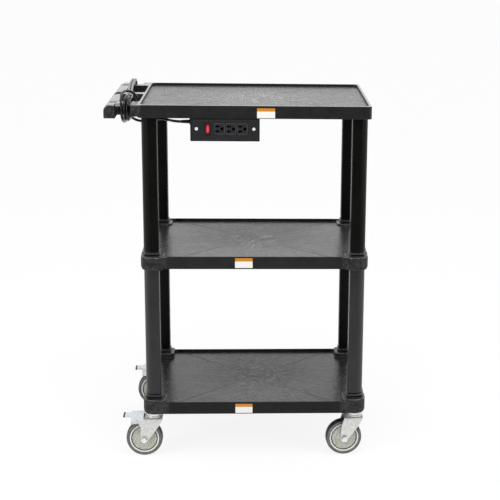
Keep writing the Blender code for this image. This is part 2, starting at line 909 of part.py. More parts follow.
def make_outlets():
    """Three outlet faces lying on their side: two blade slots to the left, the ground hole to the right."""
    for number, place in enumerate(outlet_places(), 1):
        y0 = plate_front
        half_x = outlet_width / 2
        half_z = outlet_height / 2
        body = upright_box(place, half_x, contents_z, half_z, y0, y0 + outlet_depth, strip_wall / 2)
        outlet = solid("outlet_" + str(number), body, "outlet")
        shapes = []
        for side in (-1, 1):
            z = contents_z + side * blade_spacing / 2
            x = place - blade_offset
            half = blade_slot_length / 2
            half_slot = blade_slot_width / 2
            shapes.append(box(x - half, x + half, y0 - overrun, y0 + slot_depth, z - half_slot, z + half_slot))
        profile = [(0, -overrun), (ground_radius, -overrun), (ground_radius, slot_depth), (0, slot_depth)]
        hole = revolve(profile, pin_steps, "y")
        shapes.append(moved(hole, (place + ground_offset, y0, contents_z)))
        combine(outlet, solid("slots", joined(shapes)))


def make_switch():
    """The switch: a bezel pressed into the plate and a rocker on its pivot, pressed in at the top."""
    place = strip_left + switch_centre
    front = plate_front - bezel_proud
    half_x = bezel_width / 2
    half_z = bezel_height / 2
    rim_back = plate_front - touch_gap
    bezel = solid(
        "switch_bezel",
        upright_box(place, half_x, contents_z, half_z, front, rim_back, bezel_rim / 2),
        "power_housing",
    )
    barrel_x = half_x - bezel_rim / 2
    barrel_z = half_z - bezel_rim / 2
    barrel = upright_box(
        place, barrel_x, contents_z, barrel_z, front + touch_gap, front + bezel_depth, bezel_rim / 4
    )
    combine(bezel, solid("barrel", barrel), "UNION")
    well_x = rocker_width / 2 + touch_gap
    well_z = rocker_height / 2 + touch_gap
    well = box(
        place - well_x, place + well_x, front - overrun, front + bezel_depth - bezel_rim, *around(well_z)
    )
    combine(bezel, solid("well", well))
    pivot = (place, front + rocker_depth, contents_z)
    hole = revolve(lug_profile(barrel_x + overrun, touch_gap), pin_steps, "x")
    combine(bezel, solid("lug_holes", moved(hole, pivot)))
    tilt = math.radians(rocker_tilt_deg)
    half = rocker_height / 2
    valley = half * math.sin(2 * tilt) * rocker_dish_share
    turn = 2 * rocker_tilt_deg
    outline = arc((0, 0), half, -turn, 180 + turn, 10) + [(0, -valley)]
    section = []
    for z, y in outline:
        section.append((z * math.sin(tilt) + y * math.cos(tilt), z * math.cos(tilt) - y * math.sin(tilt)))
    rocker = solid("switch_rocker", prism(section, -rocker_width / 2, rocker_width / 2, "x"), "switch")
    combine(rocker, solid("lugs", revolve(lug_profile(barrel_x - touch_gap), pin_steps, "x")), "UNION")
    rocker.location = pivot
    return rocker


def lug_profile(half_length, clearance=0.0):
    """The rocker's pivot lugs, or with a clearance the holes that take them."""
    radius = rocker_lug_radius + clearance
    return [(0, -half_length), (radius, -half_length), (radius, half_length), (0, half_length)]


def make_screws():
    """The two screws that hold the faceplate."""
    for name, first in (("faceplate_screw_left", screw_first), ("faceplate_screw_right", screw_last)):
        front = plate_front - touch_gap
        profile = [
            (0, front - screw_head_height),
            (screw_head_radius * 0.7, front - screw_head_height),
            (screw_head_radius, front - screw_head_height / 3),
            (screw_head_radius, front),
            (screw_shank_radius, front),
            (screw_shank_radius, front + screw_length),
            (0, front + screw_length),
        ]
        screw = moved(revolve(profile, pin_steps, "y"), (strip_left + first, 0, contents_z))
        solid(name, screw, "bright_screw")


def make_gland():
    """The tapered strain relief where the lead leaves the housing, clamped through its wall."""
    inside = strip_wall + touch_gap
    flange = gland_flange_height
    profile = [
        (0, inside + flange),
        (gland_nut_radius, inside + flange),
        (gland_nut_radius, inside),
        (gland_neck_radius, inside),
        (gland_neck_radius, -touch_gap),
        (gland_flange_radius, -touch_gap),
        (gland_flange_radius, -flange),
        (gland_neck_radius, -flange),
        (gland_tip_radius, -gland_length),
        (0, -gland_length),
    ]
    gland = moved(revolve(profile, pin_steps, "x"), (strip_left, gland_forward, gland_height))
    return solid("cord_gland", gland, "cord_jacket")


# The free stretches of the lead, as places on its centreline round a shelf of this width, depth and rim level
route_width = 0.610
route_depth = 0.457
route_rim_z = 0.980
run_route = [
    (-0.2080, -0.2020, 0.9345),
    (-0.2250, -0.1960, 0.9365),
    (-0.2400, -0.1850, 0.9380),
    (-0.2560, -0.1730, 0.9360),
    (-0.2740, -0.1610, 0.9305),
    (-0.2930, -0.1520, 0.9265),
    (-0.3070, -0.1490, 0.9270),
    (-0.3190, -0.1565, 0.9330),
]
tail_route = [
    (-0.3429, 0.1640, 0.9310),
    (-0.3432, 0.1280, 0.9240),
    (-0.3450, 0.0850, 0.9188),
    (-0.3465, 0.0350, 0.9155),
    (-0.3470, -0.0200, 0.9148),
    (-0.3463, -0.0800, 0.9168),
    (-0.3459, -0.1300, 0.9215),
    (-0.3457, -0.1700, 0.9290),
    (-0.3457, -0.2000, 0.9400),
    (-0.3457, -0.2180, 0.9550),
    (-0.3457, -0.2220, 0.9720),
    (-0.3462, -0.2120, 0.9890),
    (-0.3472, -0.1930, 1.0000),
    (-0.3440, -0.1700, 1.0055),
    (-0.3380, -0.1500, 1.0060),
    (-0.3270, -0.1350, 1.0020),
    (-0.3160, -0.1260, 0.9910),
    (-0.3110, -0.1180, 0.9740),
    (-0.3100, -0.1050, 0.9550),
    (-0.3105, -0.0850, 0.9400),
    (-0.3120, -0.0550, 0.9335),
    (-0.3130, -0.0200, 0.9320),
    (-0.3140, 0.0080, 0.9330),
    (-0.3185, 0.0300, 0.9365),
    (-0.3270, 0.0480, 0.9425),
    (-0.3370, 0.0640, 0.9490),
]


def on_shelf(route):
    """A route's places moved and stretched to suit the shelf's width, depth and rim level."""
    left = (shelf_width - route_width) / 2
    deeper = shelf_depth / route_depth
    higher = top_rim_z - route_rim_z
    return [Vector((x - left, y * deeper, z + higher)) for x, y, z in route]


def smooth_line(points, spacing):
    """Reads a smooth curve through the points at an even spacing."""
    points = [Vector(point) for point in points]
    ends = [points[0] * 2 - points[1]] + points + [points[-1] * 2 - points[-2]]
    fine = [points[0]]
    for i in range(1, len(ends) - 2):
        before, start, end, after = ends[i - 1 : i + 3]
        for step in range(1, 17):
            t = step / 16
            line = start * 2 + (end - before) * t
            line += (before * 2 - start * 5 + end * 4 - after) * t * t
            line += (start * 3 - before - end * 3 + after) * t * t * t
            fine.append(line / 2)
    lengths = [0.0]
    for start, end in zip(fine, fine[1:]):
        lengths.append(lengths[-1] + (end - start).length)
    count = max(2, round(lengths[-1] / spacing))
    line = []
    i = 0
    for k in range(count + 1):
        target = lengths[-1] * k / count
        while i < len(fine) - 2 and lengths[i + 1] < target:
            i += 1
        share = (target - lengths[i]) / max(lengths[i + 1] - lengths[i], touch_gap / 1000)
        line.append(fine[i].lerp(fine[i + 1], min(share, 1.0)))
    return line


def hank_skew_at(y):
    """How far the winding leans towards the grip's side at a depth, from front to back."""
    t = min(max((y + hank_skew_reach) / (2 * hank_skew_reach), 0.0), 1.0)
    return -hank_skew * t * t * (3 - 2 * t)


def hank_side(turn):
    """How many pitches along the arms a place on the winding lies: out in the first layer, back in the second."""
    if turn <= climb_start:
        return turn
    if turn >= hank_reverse_turn:
        return climb_start + hank_reverse_turn - turn
    return climb_start + hank_climb_bulge * math.sin(math.pi * climb_share(turn))


def climb_share(turn):
    return min(max((turn - climb_start) / (hank_reverse_turn - climb_start), 0.0), 1.0)


def hank_point(half, share, on_fold):
    """A place on the winding: up the front fold, back along the top, down the back fold, forward below."""
    turn = half / 2 + (fold_share * share if on_fold else fold_share + (0.5 - fold_share) * share)
    climb = climb_share(turn)
    radius = hank_fold_radius + hank_layer_step * climb * climb * (3 - 2 * climb)
    end = -1 if half % 2 == 0 else 1
    if on_fold:
        angle = math.pi * share
        y = end * (hank_fold_y + radius * math.sin(angle))
        z = end * radius * math.cos(angle)
    else:
        y = end * hank_fold_y * (1 - 2 * share)
        sag = hank_top_sag if end < 0 else hank_bottom_sag
        z = -end * radius - sag * (1 - (y / hank_fold_y) ** 2)
    x = hank_start_x - hank_pitch * hank_side(turn) + hank_skew_at(y)
    return Vector((x, y, top_rim_z - handle_height / 2 + z))


def hank_line():
    """24 points a turn, seven round each fold and five along each run, then one fold more."""
    line = []
    for half in range(hank_half_turns):
        line += [hank_point(half, i / fold_points, True) for i in range(fold_points)]
        line += [hank_point(half, i / run_points, False) for i in range(run_points)]
    line += [hank_point(hank_half_turns, i / fold_points, True) for i in range(fold_points + 1)]
    return line


def least_self_gap(line, diameter):
    """The least distance between parts of the line that aren't neighbours, less the diameter."""
    fine = []
    for start, end in zip(line, line[1:]):
        steps = max(1, round((end - start).length / diameter * 2))
        fine += [start.lerp(end, i / steps) for i in range(steps)]
    skip = 12
    least = min(
        (fine[i] - fine[j]).length for i in range(len(fine)) for j in range(i + skip, len(fine))
    )
    return least - diameter


def cord_tube(name, line, resolution):
    """A tube along a line, with filled ends, in the shelf's own frame moved to its place."""
    curve = bpy.data.curves.new(name, "CURVE")
    curve.dimensions = "3D"
    curve.bevel_depth = cord_radius
    curve.bevel_resolution = resolution
    curve.use_fill_caps = True
    spline = curve.splines.new("POLY")
    spline.points.add(len(line) - 1)
    for point, place in zip(spline.points, line):
        point.co = (place[0] + shelf_centre_x, place[1], place[2], 1.0)
    curve.materials.append(material_for(name, "cord_jacket"))
    thing = bpy.data.objects.new(name, curve)
    bpy.context.scene.collection.objects.link(thing)
    return thing


def make_cord():
    """The lead from the strain relief, its winding round the handle, and its tail to the plug."""
    gap = cord_clearance
    back = Vector((0, cord_diameter, 0))
    left = Vector((cord_diameter, 0, 0))
    wound = hank_line()
    hank = [wound[0] + back] + wound + [wound[-1] - back]
    run_end = hank[0] + Vector((0, gap, 0))
    run_start = Vector((strip_left - shelf_centre_x - gland_length - gap, gland_forward, gland_height))
    route = [run_start - left] + on_shelf(run_route) + [run_end + back]
    run_line = [run_start] + smooth_line(route, run_spacing) + [run_end]
    tail_start = hank[-1] - Vector((0, gap, 0))
    tail_end = Vector((plug_centre_x, plug_front_y - plug_neck - gap, plug_z))
    route = [tail_start - back] + on_shelf(tail_route) + [tail_end - back]
    tail_line = [tail_start] + smooth_line(route, tail_spacing) + [tail_end]
    cord_tube("cord_run", run_line, 2)
    cord_tube("cord_hank", hank, 1)
    cord_tube("cord_tail", tail_line, 2)
    total = sum((b - a).length for line in (run_line, hank, tail_line) for a, b in zip(line, line[1:]))
    whole = run_line + hank + tail_line
    print("cord length", round(total, 4), "runs", [len(x) for x in (run_line, hank, tail_line)])
    print("winding's least gap to itself", round(least_self_gap(hank, cord_diameter), 5))
    print("whole lead's least gap to itself", round(least_self_gap(whole, cord_diameter), 5))


def make_plug():
    """The moulded plug, tucked into the winding, and the inner bridge that carries its blades and ground pin."""
    z = plug_z
    back = plug_front_y + plug_length

    def section(y, half_x, half_z, radius):
        outline = round_box(-half_x, half_x, -half_z, half_z, radius, 3)
        return [Vector((plug_centre_x + shelf_centre_x + x, y, z + h)) for x, h in outline]

    half_x = plug_width / 2
    half_z = plug_height / 2
    neck = plug_neck_radius
    tip = cord_radius + touch_gap
    waist_x = plug_waist / 2
    rings = [
        section(plug_front_y - plug_neck, tip, tip, tip * 0.98),
        section(plug_front_y - plug_neck / 4, neck, neck, neck * 0.98),
        section(plug_front_y, waist_x * 0.8, neck * 1.1, neck * 0.98),
        section(plug_front_y + plug_length / 4, waist_x, half_z, plug_corner_radius),
        section(plug_front_y + plug_length / 2, half_x, half_z, plug_corner_radius),
        section(back, half_x, half_z, plug_corner_radius),
    ]
    solid("plug", loft(rings), "cord_jacket")
    x = plug_centre_x + shelf_centre_x
    bridge_back = back + touch_gap
    start = bridge_back + pin_bridge / 2
    half_w = half_x - plug_corner_radius
    half_t = half_z - plug_corner_radius / 2
    outline = round_box(x - half_w, x + half_w, z - half_t, z + half_t, plug_corner_radius / 2, 2)
    pins = solid("plug_pins", prism(outline, bridge_back, bridge_back + pin_bridge, "y"), "brass_pin")
    shapes = []
    for side in (-1, 1):
        blade_z = z + side * blade_spacing / 2
        blade_x = x - blade_side
        half_w = pin_width / 2
        half_t = pin_thickness / 2
        shapes.append(
            box(blade_x - half_w, blade_x + half_w, start, start + pin_length, blade_z - half_t, blade_z + half_t)
        )
    profile = [(0, 0), (ground_pin_radius, 0), (ground_pin_radius, ground_pin_length), (0, ground_pin_length)]
    shapes.append(moved(revolve(profile, pin_steps, "y"), (x + ground_pin_side, start, z)))
    combine(pins, solid("blades", joined(shapes)), "UNION")


def caster_place(corner):
    sx, sy = corners[corner]
    return shelf_centre_x + sx * caster_x, sy * caster_y


def fork_outline(braked):
    """The fork's side view about the swivel axis: crown, raked edges and a round foot at the axle."""
    foot = (-caster_trail, wheel_radius)
    top = fork_top_z
    crown = race_radius + fork_thickness / 2
    foot_points = arc(foot, fork_foot_radius, -32, -185, 5)
    right = [(crown, top), (crown, top - fork_bend_radius), (crown / 2, top - crown - fork_thickness * 1.5)]
    left_x = foot[0] - fork_foot_radius
    left = [(left_x + fork_thickness / 2, top - crown - fork_bend_radius)]
    if braked:
        ear_x = pedal_pivot_x - fork_bend_radius * 2
        ear_low = pedal_pivot_z - fork_bend_radius * 1.5
        ear_high = top - fork_thickness - touch_gap * 4
        left += [
            (pedal_pivot_x + fork_bend_radius, ear_low + fork_thickness),
            (pedal_pivot_x - fork_bend_radius, ear_low + fork_thickness / 2),
            (ear_x, ear_low),
            (ear_x - fork_thickness, ear_low + fork_bend_radius / 2),
            (ear_x, ear_high - fork_bend_radius),
            (ear_x + fork_bend_radius, ear_high),
            (-crown - fork_bend_radius, ear_high),
        ]
    left += [(-crown - fork_bend_radius, top - fork_thickness * 1.4), (-crown - fork_thickness, top)]
    return right + foot_points + left


def fork_tunnel():
    """The folded sheet seen along the fork: an upside-down U with round bends."""
    outer = fork_half_gap + fork_thickness
    inner = fork_half_gap
    top = fork_top_z
    under = top - fork_thickness
    low = 0.0
    bend = fork_bend_radius
    small = bend - fork_thickness
    points = [(outer, low)]
    points += arc((outer - bend, top - bend), bend, 0, 90, 2)
    points += arc((-outer + bend, top - bend), bend, 90, 180, 2)
    points += [(-outer, low), (-inner, low)]
    points += arc((-inner + small, under - small), small, 180, 90, 2)
    points += arc((inner - small, under - small), small, 90, 0, 2)
    points += [(inner, low)]
    return points


def cylinder_along_y(radius, half_length, x, z, steps):
    profile = [(0, -half_length), (radius, -half_length), (radius, half_length), (0, half_length)]
    return moved(revolve(profile, steps, "y"), (x, 0, z))


def make_fork_shape(braked):
    """A stamped fork: the folded sheet trimmed to the side view, with its bearing race and holes."""
    reach = caster_trail + fork_foot_radius + wheel_radius
    fork = solid("fork_shape", prism(fork_tunnel(), -reach, reach, "x"))
    outer = fork_half_gap + fork_thickness + overrun
    trim = prism(fork_outline(braked), -outer, outer, "y")
    combine(fork, solid("fork_trim", trim), "INTERSECT")
    under = fork_top_z - fork_thickness
    race = [
        (race_inner_radius, under + fork_thickness / 2),
        (race_radius, under + fork_thickness / 2),
        (race_radius, race_top_z - fork_thickness / 2),
        (race_radius - fork_thickness / 2, race_top_z),
        (race_inner_radius, race_top_z),
    ]
    combine(fork, solid("race", revolve(race, turned_steps, closed=True)), "UNION")
    hole = [(0, under - overrun), (crown_hole_radius, under - overrun)]
    hole += [(crown_hole_radius, race_top_z + overrun), (0, race_top_z + overrun)]
    combine(fork, solid("crown_hole", revolve(hole, pin_steps)))
    bores = [cylinder_along_y(axle_radius + touch_gap, outer, -caster_trail, wheel_radius, pin_steps)]
    if braked:
        radius = pedal_pin_radius + touch_gap
        bores.append(cylinder_along_y(radius, outer, pedal_pivot_x, pedal_pivot_z, pin_steps))
    return combine(fork, solid("fork_holes", joined(bores)))


def make_mount_shape():
    """The fixed part of a caster: threaded stem, race cap and the king pin riveted under the fork."""
    top = caster_top_z - touch_gap
    low = race_top_z + touch_gap
    under = fork_top_z - fork_thickness - touch_gap
    profile = [
        (0, top + stem_length),
        (stem_radius, top + stem_length),
        (stem_radius, top),
        (mount_radius, top),
        (mount_radius, top - mount_rim_height),
        (race_radius, low),
        (kingpin_radius, low),
        (kingpin_radius, under),
        (kingpin_head_radius, under),
        (kingpin_head_radius * 0.8, under - kingpin_head_height),
        (0, under - kingpin_head_height),
    ]
    return solid("mount_shape", revolve(profile, turned_steps))


def make_axle_shape():
    """The axle bolt with its head and washer in front, its nut and washer behind."""
    outer = fork_half_gap + fork_thickness + touch_gap
    washer = outer + axle_washer_height
    head = washer + axle_head_height
    hexagon = 6
    rings = []
    levels = [
        (0, -head),
        (axle_head_radius, -head),
        (axle_head_radius, -washer),
        (axle_washer_radius, -washer),
        (axle_washer_radius, -outer),
        (axle_radius, -outer),
        (axle_radius, outer),
        (axle_washer_radius, outer),
        (axle_washer_radius, washer),
        (axle_head_radius, washer),
        (axle_head_radius, head),
        (axle_radius, head),
        (axle_radius, head + axle_end),
        (0, head + axle_end),
    ]
    bm = bmesh.new()
    steps = pin_steps
    for radius, y in levels:
        if radius == 0:
            rings.append([bm.verts.new((0, y, 0))])
            continue
        ring = []
        for i in range(steps):
            angle = 2 * math.pi * i / steps
            size = radius
            if radius == axle_head_radius and i % 2:
                size = radius * math.cos(math.pi / hexagon)
            ring.append(bm.verts.new((size * math.cos(angle), y, size * math.sin(angle))))
        rings.append(ring)
    for lower, upper in zip(rings, rings[1:]):
        if len(lower) == 1:
            for i in range(steps):
                bm.faces.new((lower[0], upper[i], upper[(i + 1) % steps]))
        elif len(upper) == 1:
            for i in range(steps):
                bm.faces.new((lower[i], upper[0], lower[(i + 1) % steps]))
        else:
            bridge(bm, lower, upper)
    return solid("axle_shape", bm)


def make_bushing_shape():
    """The spanner bushing clamped between the fork's cheeks, on which the wheel turns."""
    half = fork_half_gap - touch_gap
    profile = [
        (bushing_bore_radius, -half),
        (bushing_radius, -half),
        (bushing_radius, half),
        (bushing_bore_radius, half),
    ]
    return solid("bushing_shape", revolve(profile, pin_steps, "y", closed=True))


def make_hub_shape():
    """The wheel's moulded core: boss, dished disc, ring groove and raised rim on both faces."""
    outer = tyre_inner_radius - touch_gap
    half = [
        (hub_bore_radius, hub_boss_half_width),
        (hub_boss_radius, hub_boss_half_width),
        (hub_boss_radius + hub_groove_width, hub_disc_half_width),
        (hub_groove_radius, hub_half_width - hub_groove_depth),
        (outer, hub_half_width),
    ]
    profile = [(radius, -y) for radius, y in half] + [(radius, y) for radius, y in reversed(half)]
    return solid("hub_shape", revolve(profile, wheel_steps, "y", closed=True))


def make_tyre_shape():
    """The tyre: crowned tread and round shoulders, moulded on the core."""
    shoulder = wheel_radius - (wheel_radius - tyre_inner_radius) / 6
    side = tyre_inner_radius + (wheel_radius - tyre_inner_radius) / 3
    near = (tyre_half_width + tread_half_width) / 2
    half = [
        (tyre_inner_radius, hub_half_width),
        (side, tyre_half_width),
        (shoulder, near + tread_half_width / 4),
        (wheel_radius, tread_half_width),
    ]
    profile = [(radius, -y) for radius, y in half] + [(radius, y) for radius, y in reversed(half)]
    return solid("tyre_shape", revolve(profile, wheel_steps, "y", closed=True))


def make_pedal_shape():
    """The brake pedal: a stamped channel over the fork's ears, a narrower tread beyond them and a shoe."""
    inner = fork_half_gap + fork_thickness + pedal_side_clearance
    outer = inner + pedal_thickness
    tip = pedal_tip_x - pedal_pivot_x
    neck = pedal_neck_x - pedal_pivot_x
    back = pedal_back_x - pedal_pivot_x
    top = pedal_top_z - pedal_pivot_z
    low = top - pedal_flange_depth
    pin = pedal_pin_radius + pedal_pin_clearance + pedal_thickness
    side = [
        (back, top),
        (back, low),
        (pin, -pin / 2),
        (pin / 2, -pin),
        (-pin / 2, -pin),
        (-pin, -pin / 2),
        (neck, low),
        (neck, top),
    ]
    pedal = solid("pedal_shape", prism(side, -outer, outer, "y"))
    far = pedal_flange_depth + pin * 4
    hollow = box(neck - overrun, back + overrun, -inner, inner, -far, top - pedal_thickness)
    combine(pedal, solid("channel", hollow))
    tread_low = top - pedal_tread_flange
    half = pedal_tread_half_width
    tread = solid("tread", box(tip, neck + pedal_thickness, -half, half, tread_low, top))
    half -= pedal_thickness
    hollow = box(tip + pedal_thickness, neck + overrun, -half, half, -far, top - pedal_thickness)
    combine(tread, solid("tread_hollow", hollow))
    combine(pedal, tread, "UNION")
    wheel_x = -caster_trail - pedal_pivot_x
    shoe = shoe_x - pedal_pivot_x
    drop = wheel_radius - pedal_pivot_z
    reach = math.sqrt(wheel_radius**2 - (shoe - wheel_x) ** 2)
    shoe_low = drop + reach + shoe_gap
    web = box(
        shoe - shoe_thickness / 2,
        shoe + shoe_thickness / 2,
        -shoe_half_width,
        shoe_half_width,
        shoe_low,
        top - pedal_thickness / 2,
    )
    combine(pedal, solid("web", web), "UNION")
    bore = cylinder_along_y(pedal_pin_radius + pedal_pin_clearance, outer + overrun, 0, 0, pin_steps)
    return combine(pedal, solid("pedal_bore", bore))


def make_brake_pin_shape():
    """The rivet that the pedal turns on, through both ears of the fork."""
    outer = fork_half_gap + fork_thickness + pedal_side_clearance + pedal_thickness + touch_gap
    head = outer + pedal_pin_head_height
    profile = [
        (0, -head),
        (pedal_pin_head_radius, -head),
        (pedal_pin_head_radius, -outer),
        (pedal_pin_radius, -outer),
        (pedal_pin_radius, outer),
        (pedal_pin_head_radius, outer),
        (pedal_pin_head_radius, head),
        (0, head),
    ]
    return solid("brake_pin_shape", revolve(profile, pin_steps, "y"))


def make_casters():
    """Four swivel casters; the two under the handle have brakes."""
    shapes = {
        "mount": make_mount_shape(),
        "axle": make_axle_shape(),
        "bushing": make_bushing_shape(),
        "hub": make_hub_shape(),
        "tyre": make_tyre_shape(),
        "pedal": make_pedal_shape(),
        "pin": make_brake_pin_shape(),
        "braked_fork": make_fork_shape(True),
        "plain_fork": make_fork_shape(False),
    }
    for shape in shapes.values():
        shape.data.shade_smooth()
        shape.data.set_sharp_from_angle(angle=math.radians(32))
    for corner in corners:
        x, y = caster_place(corner)
        braked = corners[corner][0] < 0
        heading = caster_heading_deg[corner]
        fixed = anchor("caster_seat_" + corner, (x, y, 0))
        swivel = anchor("swivel_axis_" + corner, (x, y, 0), heading)
        wheel = anchor("wheel_axis_" + corner, (-caster_trail, 0, wheel_radius))
        wheel.parent = swivel
        carried_by(same_shape("caster_mount_" + corner, shapes["mount"], "zinc"), fixed)
        fork = shapes["braked_fork" if braked else "plain_fork"]
        carried_by(same_shape("caster_fork_" + corner, fork, "zinc"), swivel)
        axle = carried_by(same_shape("axle_" + corner, shapes["axle"], "zinc"), swivel)
        axle.location = (-caster_trail, 0, wheel_radius)
        bushing = carried_by(same_shape("bushing_" + corner, shapes["bushing"], "zinc"), swivel)
        bushing.location = (-caster_trail, 0, wheel_radius)
        carried_by(same_shape("wheel_hub_" + corner, shapes["hub"], "wheel_hub"), wheel)
        carried_by(same_shape("tyre_" + corner, shapes["tyre"], "tyre"), wheel)
        if braked:
            pivot = (pedal_pivot_x, 0, pedal_pivot_z)
            pedal = carried_by(same_shape("brake_pedal_" + corner, shapes["pedal"], "zinc"), swivel)
            pedal.location = pivot
            pin = carried_by(same_shape("brake_pin_" + corner, shapes["pin"], "zinc"), swivel)
            pin.location = pivot
    for shape in shapes.values():
        bpy.data.objects.remove(shape, do_unlink=True)


clear_scene()
make_top_shelf()
make_lower_shelf("middle")
make_lower_shelf("bottom")
make_bars()
make_legs()
make_housing()
make_faceplate()
make_outlets()
make_switch()
make_screws()
make_gland()
make_cord()
make_plug()
make_casters()
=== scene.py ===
import math

import bpy
from mathutils import Matrix, Vector


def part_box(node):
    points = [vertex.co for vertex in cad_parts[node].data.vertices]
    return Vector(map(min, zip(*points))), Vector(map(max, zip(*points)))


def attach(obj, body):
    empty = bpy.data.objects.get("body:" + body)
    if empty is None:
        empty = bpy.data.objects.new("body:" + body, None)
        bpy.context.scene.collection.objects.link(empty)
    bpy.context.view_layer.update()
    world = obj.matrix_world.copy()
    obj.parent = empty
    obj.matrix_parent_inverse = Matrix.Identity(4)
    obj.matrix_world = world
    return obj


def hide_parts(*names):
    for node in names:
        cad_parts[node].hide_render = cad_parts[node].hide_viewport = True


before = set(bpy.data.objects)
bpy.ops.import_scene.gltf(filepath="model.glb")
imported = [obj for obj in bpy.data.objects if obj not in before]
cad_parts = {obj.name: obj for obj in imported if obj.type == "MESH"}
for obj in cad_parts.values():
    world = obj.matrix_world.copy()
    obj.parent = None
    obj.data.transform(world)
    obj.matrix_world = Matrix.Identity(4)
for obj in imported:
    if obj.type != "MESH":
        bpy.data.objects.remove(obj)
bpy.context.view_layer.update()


# Camera and studio
# A long lens about 3.7 m away, half a metre above the cart's top. Backdrop and floor are plain white. The
# studio behind the camera is dimmer, so upright black faces stay dark and level tops catch the backdrop.

def linear(code):
    """An sRGB hex colour as linear red, green, blue and alpha."""
    values = [int(code[i:i + 2], 16) / 255 for i in (1, 3, 5)]
    return tuple(v / 12.92 if v <= 0.04045 else ((v + 0.055) / 1.055) ** 2.4 for v in values) + (1.0,)


def connect(tree, node, links):
    """Links a node's inputs, each to a socket or to the first output of another node."""
    for key, source in links.items():
        socket = source.outputs[0] if isinstance(source, bpy.types.Node) else source
        tree.links.new(socket, node.inputs[key])


def add_node(tree, kind, settings=None, links=None):
    """Adds a node, sets its colour stops, its properties or its inputs' values, and links its inputs."""
    node = tree.nodes.new(kind)
    for key, value in (settings or {}).items():
        if key == "stops":
            for stop, (position, code) in zip(node.color_ramp.elements, value):
                stop.position = position
                stop.color = linear(code)
        elif isinstance(key, str) and hasattr(node, key):
            setattr(node, key, value)
        else:
            node.inputs[key].default_value = value
    connect(tree, node, links or {})
    return node


def ray_kinds(tree):
    """Two values: 1 for a reflected ray, and 1 for a camera ray, straight or through a clear piece."""
    path = add_node(tree, "ShaderNodeLightPath")
    seen = add_node(tree, "ShaderNodeMath", {"operation": "MAXIMUM"},
                    {0: path.outputs["Is Camera Ray"], 1: path.outputs["Is Transmission Ray"]})
    return path.outputs["Is Glossy Ray"], seen


def clear_selection():
    """Leaves edit mode and deselects everything."""
    if bpy.context.object and bpy.context.object.mode != "OBJECT":
        bpy.ops.object.mode_set(mode="OBJECT")
    bpy.ops.object.select_all(action="DESELECT")


clear_selection()
aim = tuple(math.radians(angle) for angle in (75.6062, -0.8966, -3.2148))
bpy.ops.object.camera_add(location=(0.04025, -3.6504, 1.4742), rotation=aim)
camera = bpy.context.object
camera.name = "product_camera"
camera.data.lens = 95.317
camera.data.shift_x = -0.1620
camera.data.sensor_width = 36.0
camera.data.clip_end = 60.0
bpy.context.scene.camera = camera
bpy.context.scene.view_settings.view_transform = "Standard"

world = bpy.data.worlds.new("white_studio")
bpy.context.scene.world = world
world.use_nodes = True
tree = world.node_tree
tree.nodes.clear()
reflected, seen = ray_kinds(tree)
coords = add_node(tree, "ShaderNodeTexCoord")
split = add_node(tree, "ShaderNodeSeparateXYZ", links={0: coords.outputs["Generated"]})
depth = add_node(tree, "ShaderNodeMapRange",
                 {"From Min": -0.35, "From Max": 0.20, "To Min": 0.08, "To Max": 1.0},
                 {"Value": split.outputs["Y"]})
mirror = add_node(tree, "ShaderNodeMix", {"data_type": "FLOAT", 2: 0.72}, {0: reflected, 3: depth})
level = add_node(tree, "ShaderNodeMath", {"operation": "MAXIMUM"}, {0: seen, 1: mirror})
backdrop = add_node(tree, "ShaderNodeBackground", {"Color": (1, 1, 1, 1)}, {"Strength": level})
add_node(tree, "ShaderNodeOutputWorld", links={"Surface": backdrop})

clear_selection()
bpy.ops.mesh.primitive_plane_add(size=60, location=(0, 0, 0))
floor = bpy.context.object
floor.name = "studio_floor"
paper = bpy.data.materials.new("white_floor_paper")
paper.use_nodes = True
tree = paper.node_tree
tree.nodes.clear()
reflected, seen = ray_kinds(tree)
kept = add_node(tree, "ShaderNodeMath", {"operation": "MULTIPLY", 1: 0.82}, {0: seen})
share = add_node(tree, "ShaderNodeMath", {"operation": "MAXIMUM"}, {0: kept, 1: reflected})
coords = add_node(tree, "ShaderNodeTexCoord")
split = add_node(tree, "ShaderNodeSeparateXYZ", links={0: coords.outputs["Object"]})
dimmed = add_node(tree, "ShaderNodeMapRange",
                  {"From Min": -3.4, "From Max": -0.4, "To Min": 0.10, "To Max": 0.95},
                  {"Value": split.outputs["Y"]})
shine = add_node(tree, "ShaderNodeMix", {"data_type": "FLOAT", 2: 1.06}, {0: reflected, 3: dimmed})
matt = add_node(tree, "ShaderNodeBsdfDiffuse", {"Color": (0.82, 0.82, 0.82, 1)})
glow = add_node(tree, "ShaderNodeEmission", {"Color": (1, 1, 1, 1)}, {"Strength": shine})
both = add_node(tree, "ShaderNodeMixShader", links={0: share, 1: matt, 2: glow})
add_node(tree, "ShaderNodeOutputMaterial", links={"Surface": both})
floor.data.materials.append(paper)


def softbox(name, place, target, width, height, power):
    """A rectangular area light aimed at a point."""
    light = bpy.data.lights.new(name, "AREA")
    light.shape = "RECTANGLE"
    light.size = width
    light.size_y = height
    light.energy = power
    lamp = bpy.data.objects.new(name, light)
    bpy.context.scene.collection.objects.link(lamp)
    lamp.location = place
    lamp.rotation_euler = (Vector(target) - Vector(place)).to_track_quat("-Z", "Y").to_euler()


softbox("left_softbox", (-2.4, -2.0, 1.5), (0, 0, 0.5), width=0.7, height=1.8, power=26)
softbox("right_softbox", (2.6, -1.6, 1.3), (0, 0, 0.5), width=0.5, height=1.8, power=14)
softbox("overhead_softbox", (0.2, -1.2, 3.0), (0, 0, 0.6), width=1.6, height=1.2, power=24)


# Mains lead
# A 7 mm rubber-jacketed lead, about 4.3 m long. It leaves the strip through a ribbed strain relief, runs
# under the shelf behind the leg, is wound three and a half turns round the handle's arms in two layers, and
# its last loop drops through the grip opening to the plug, which is tucked into the winding.

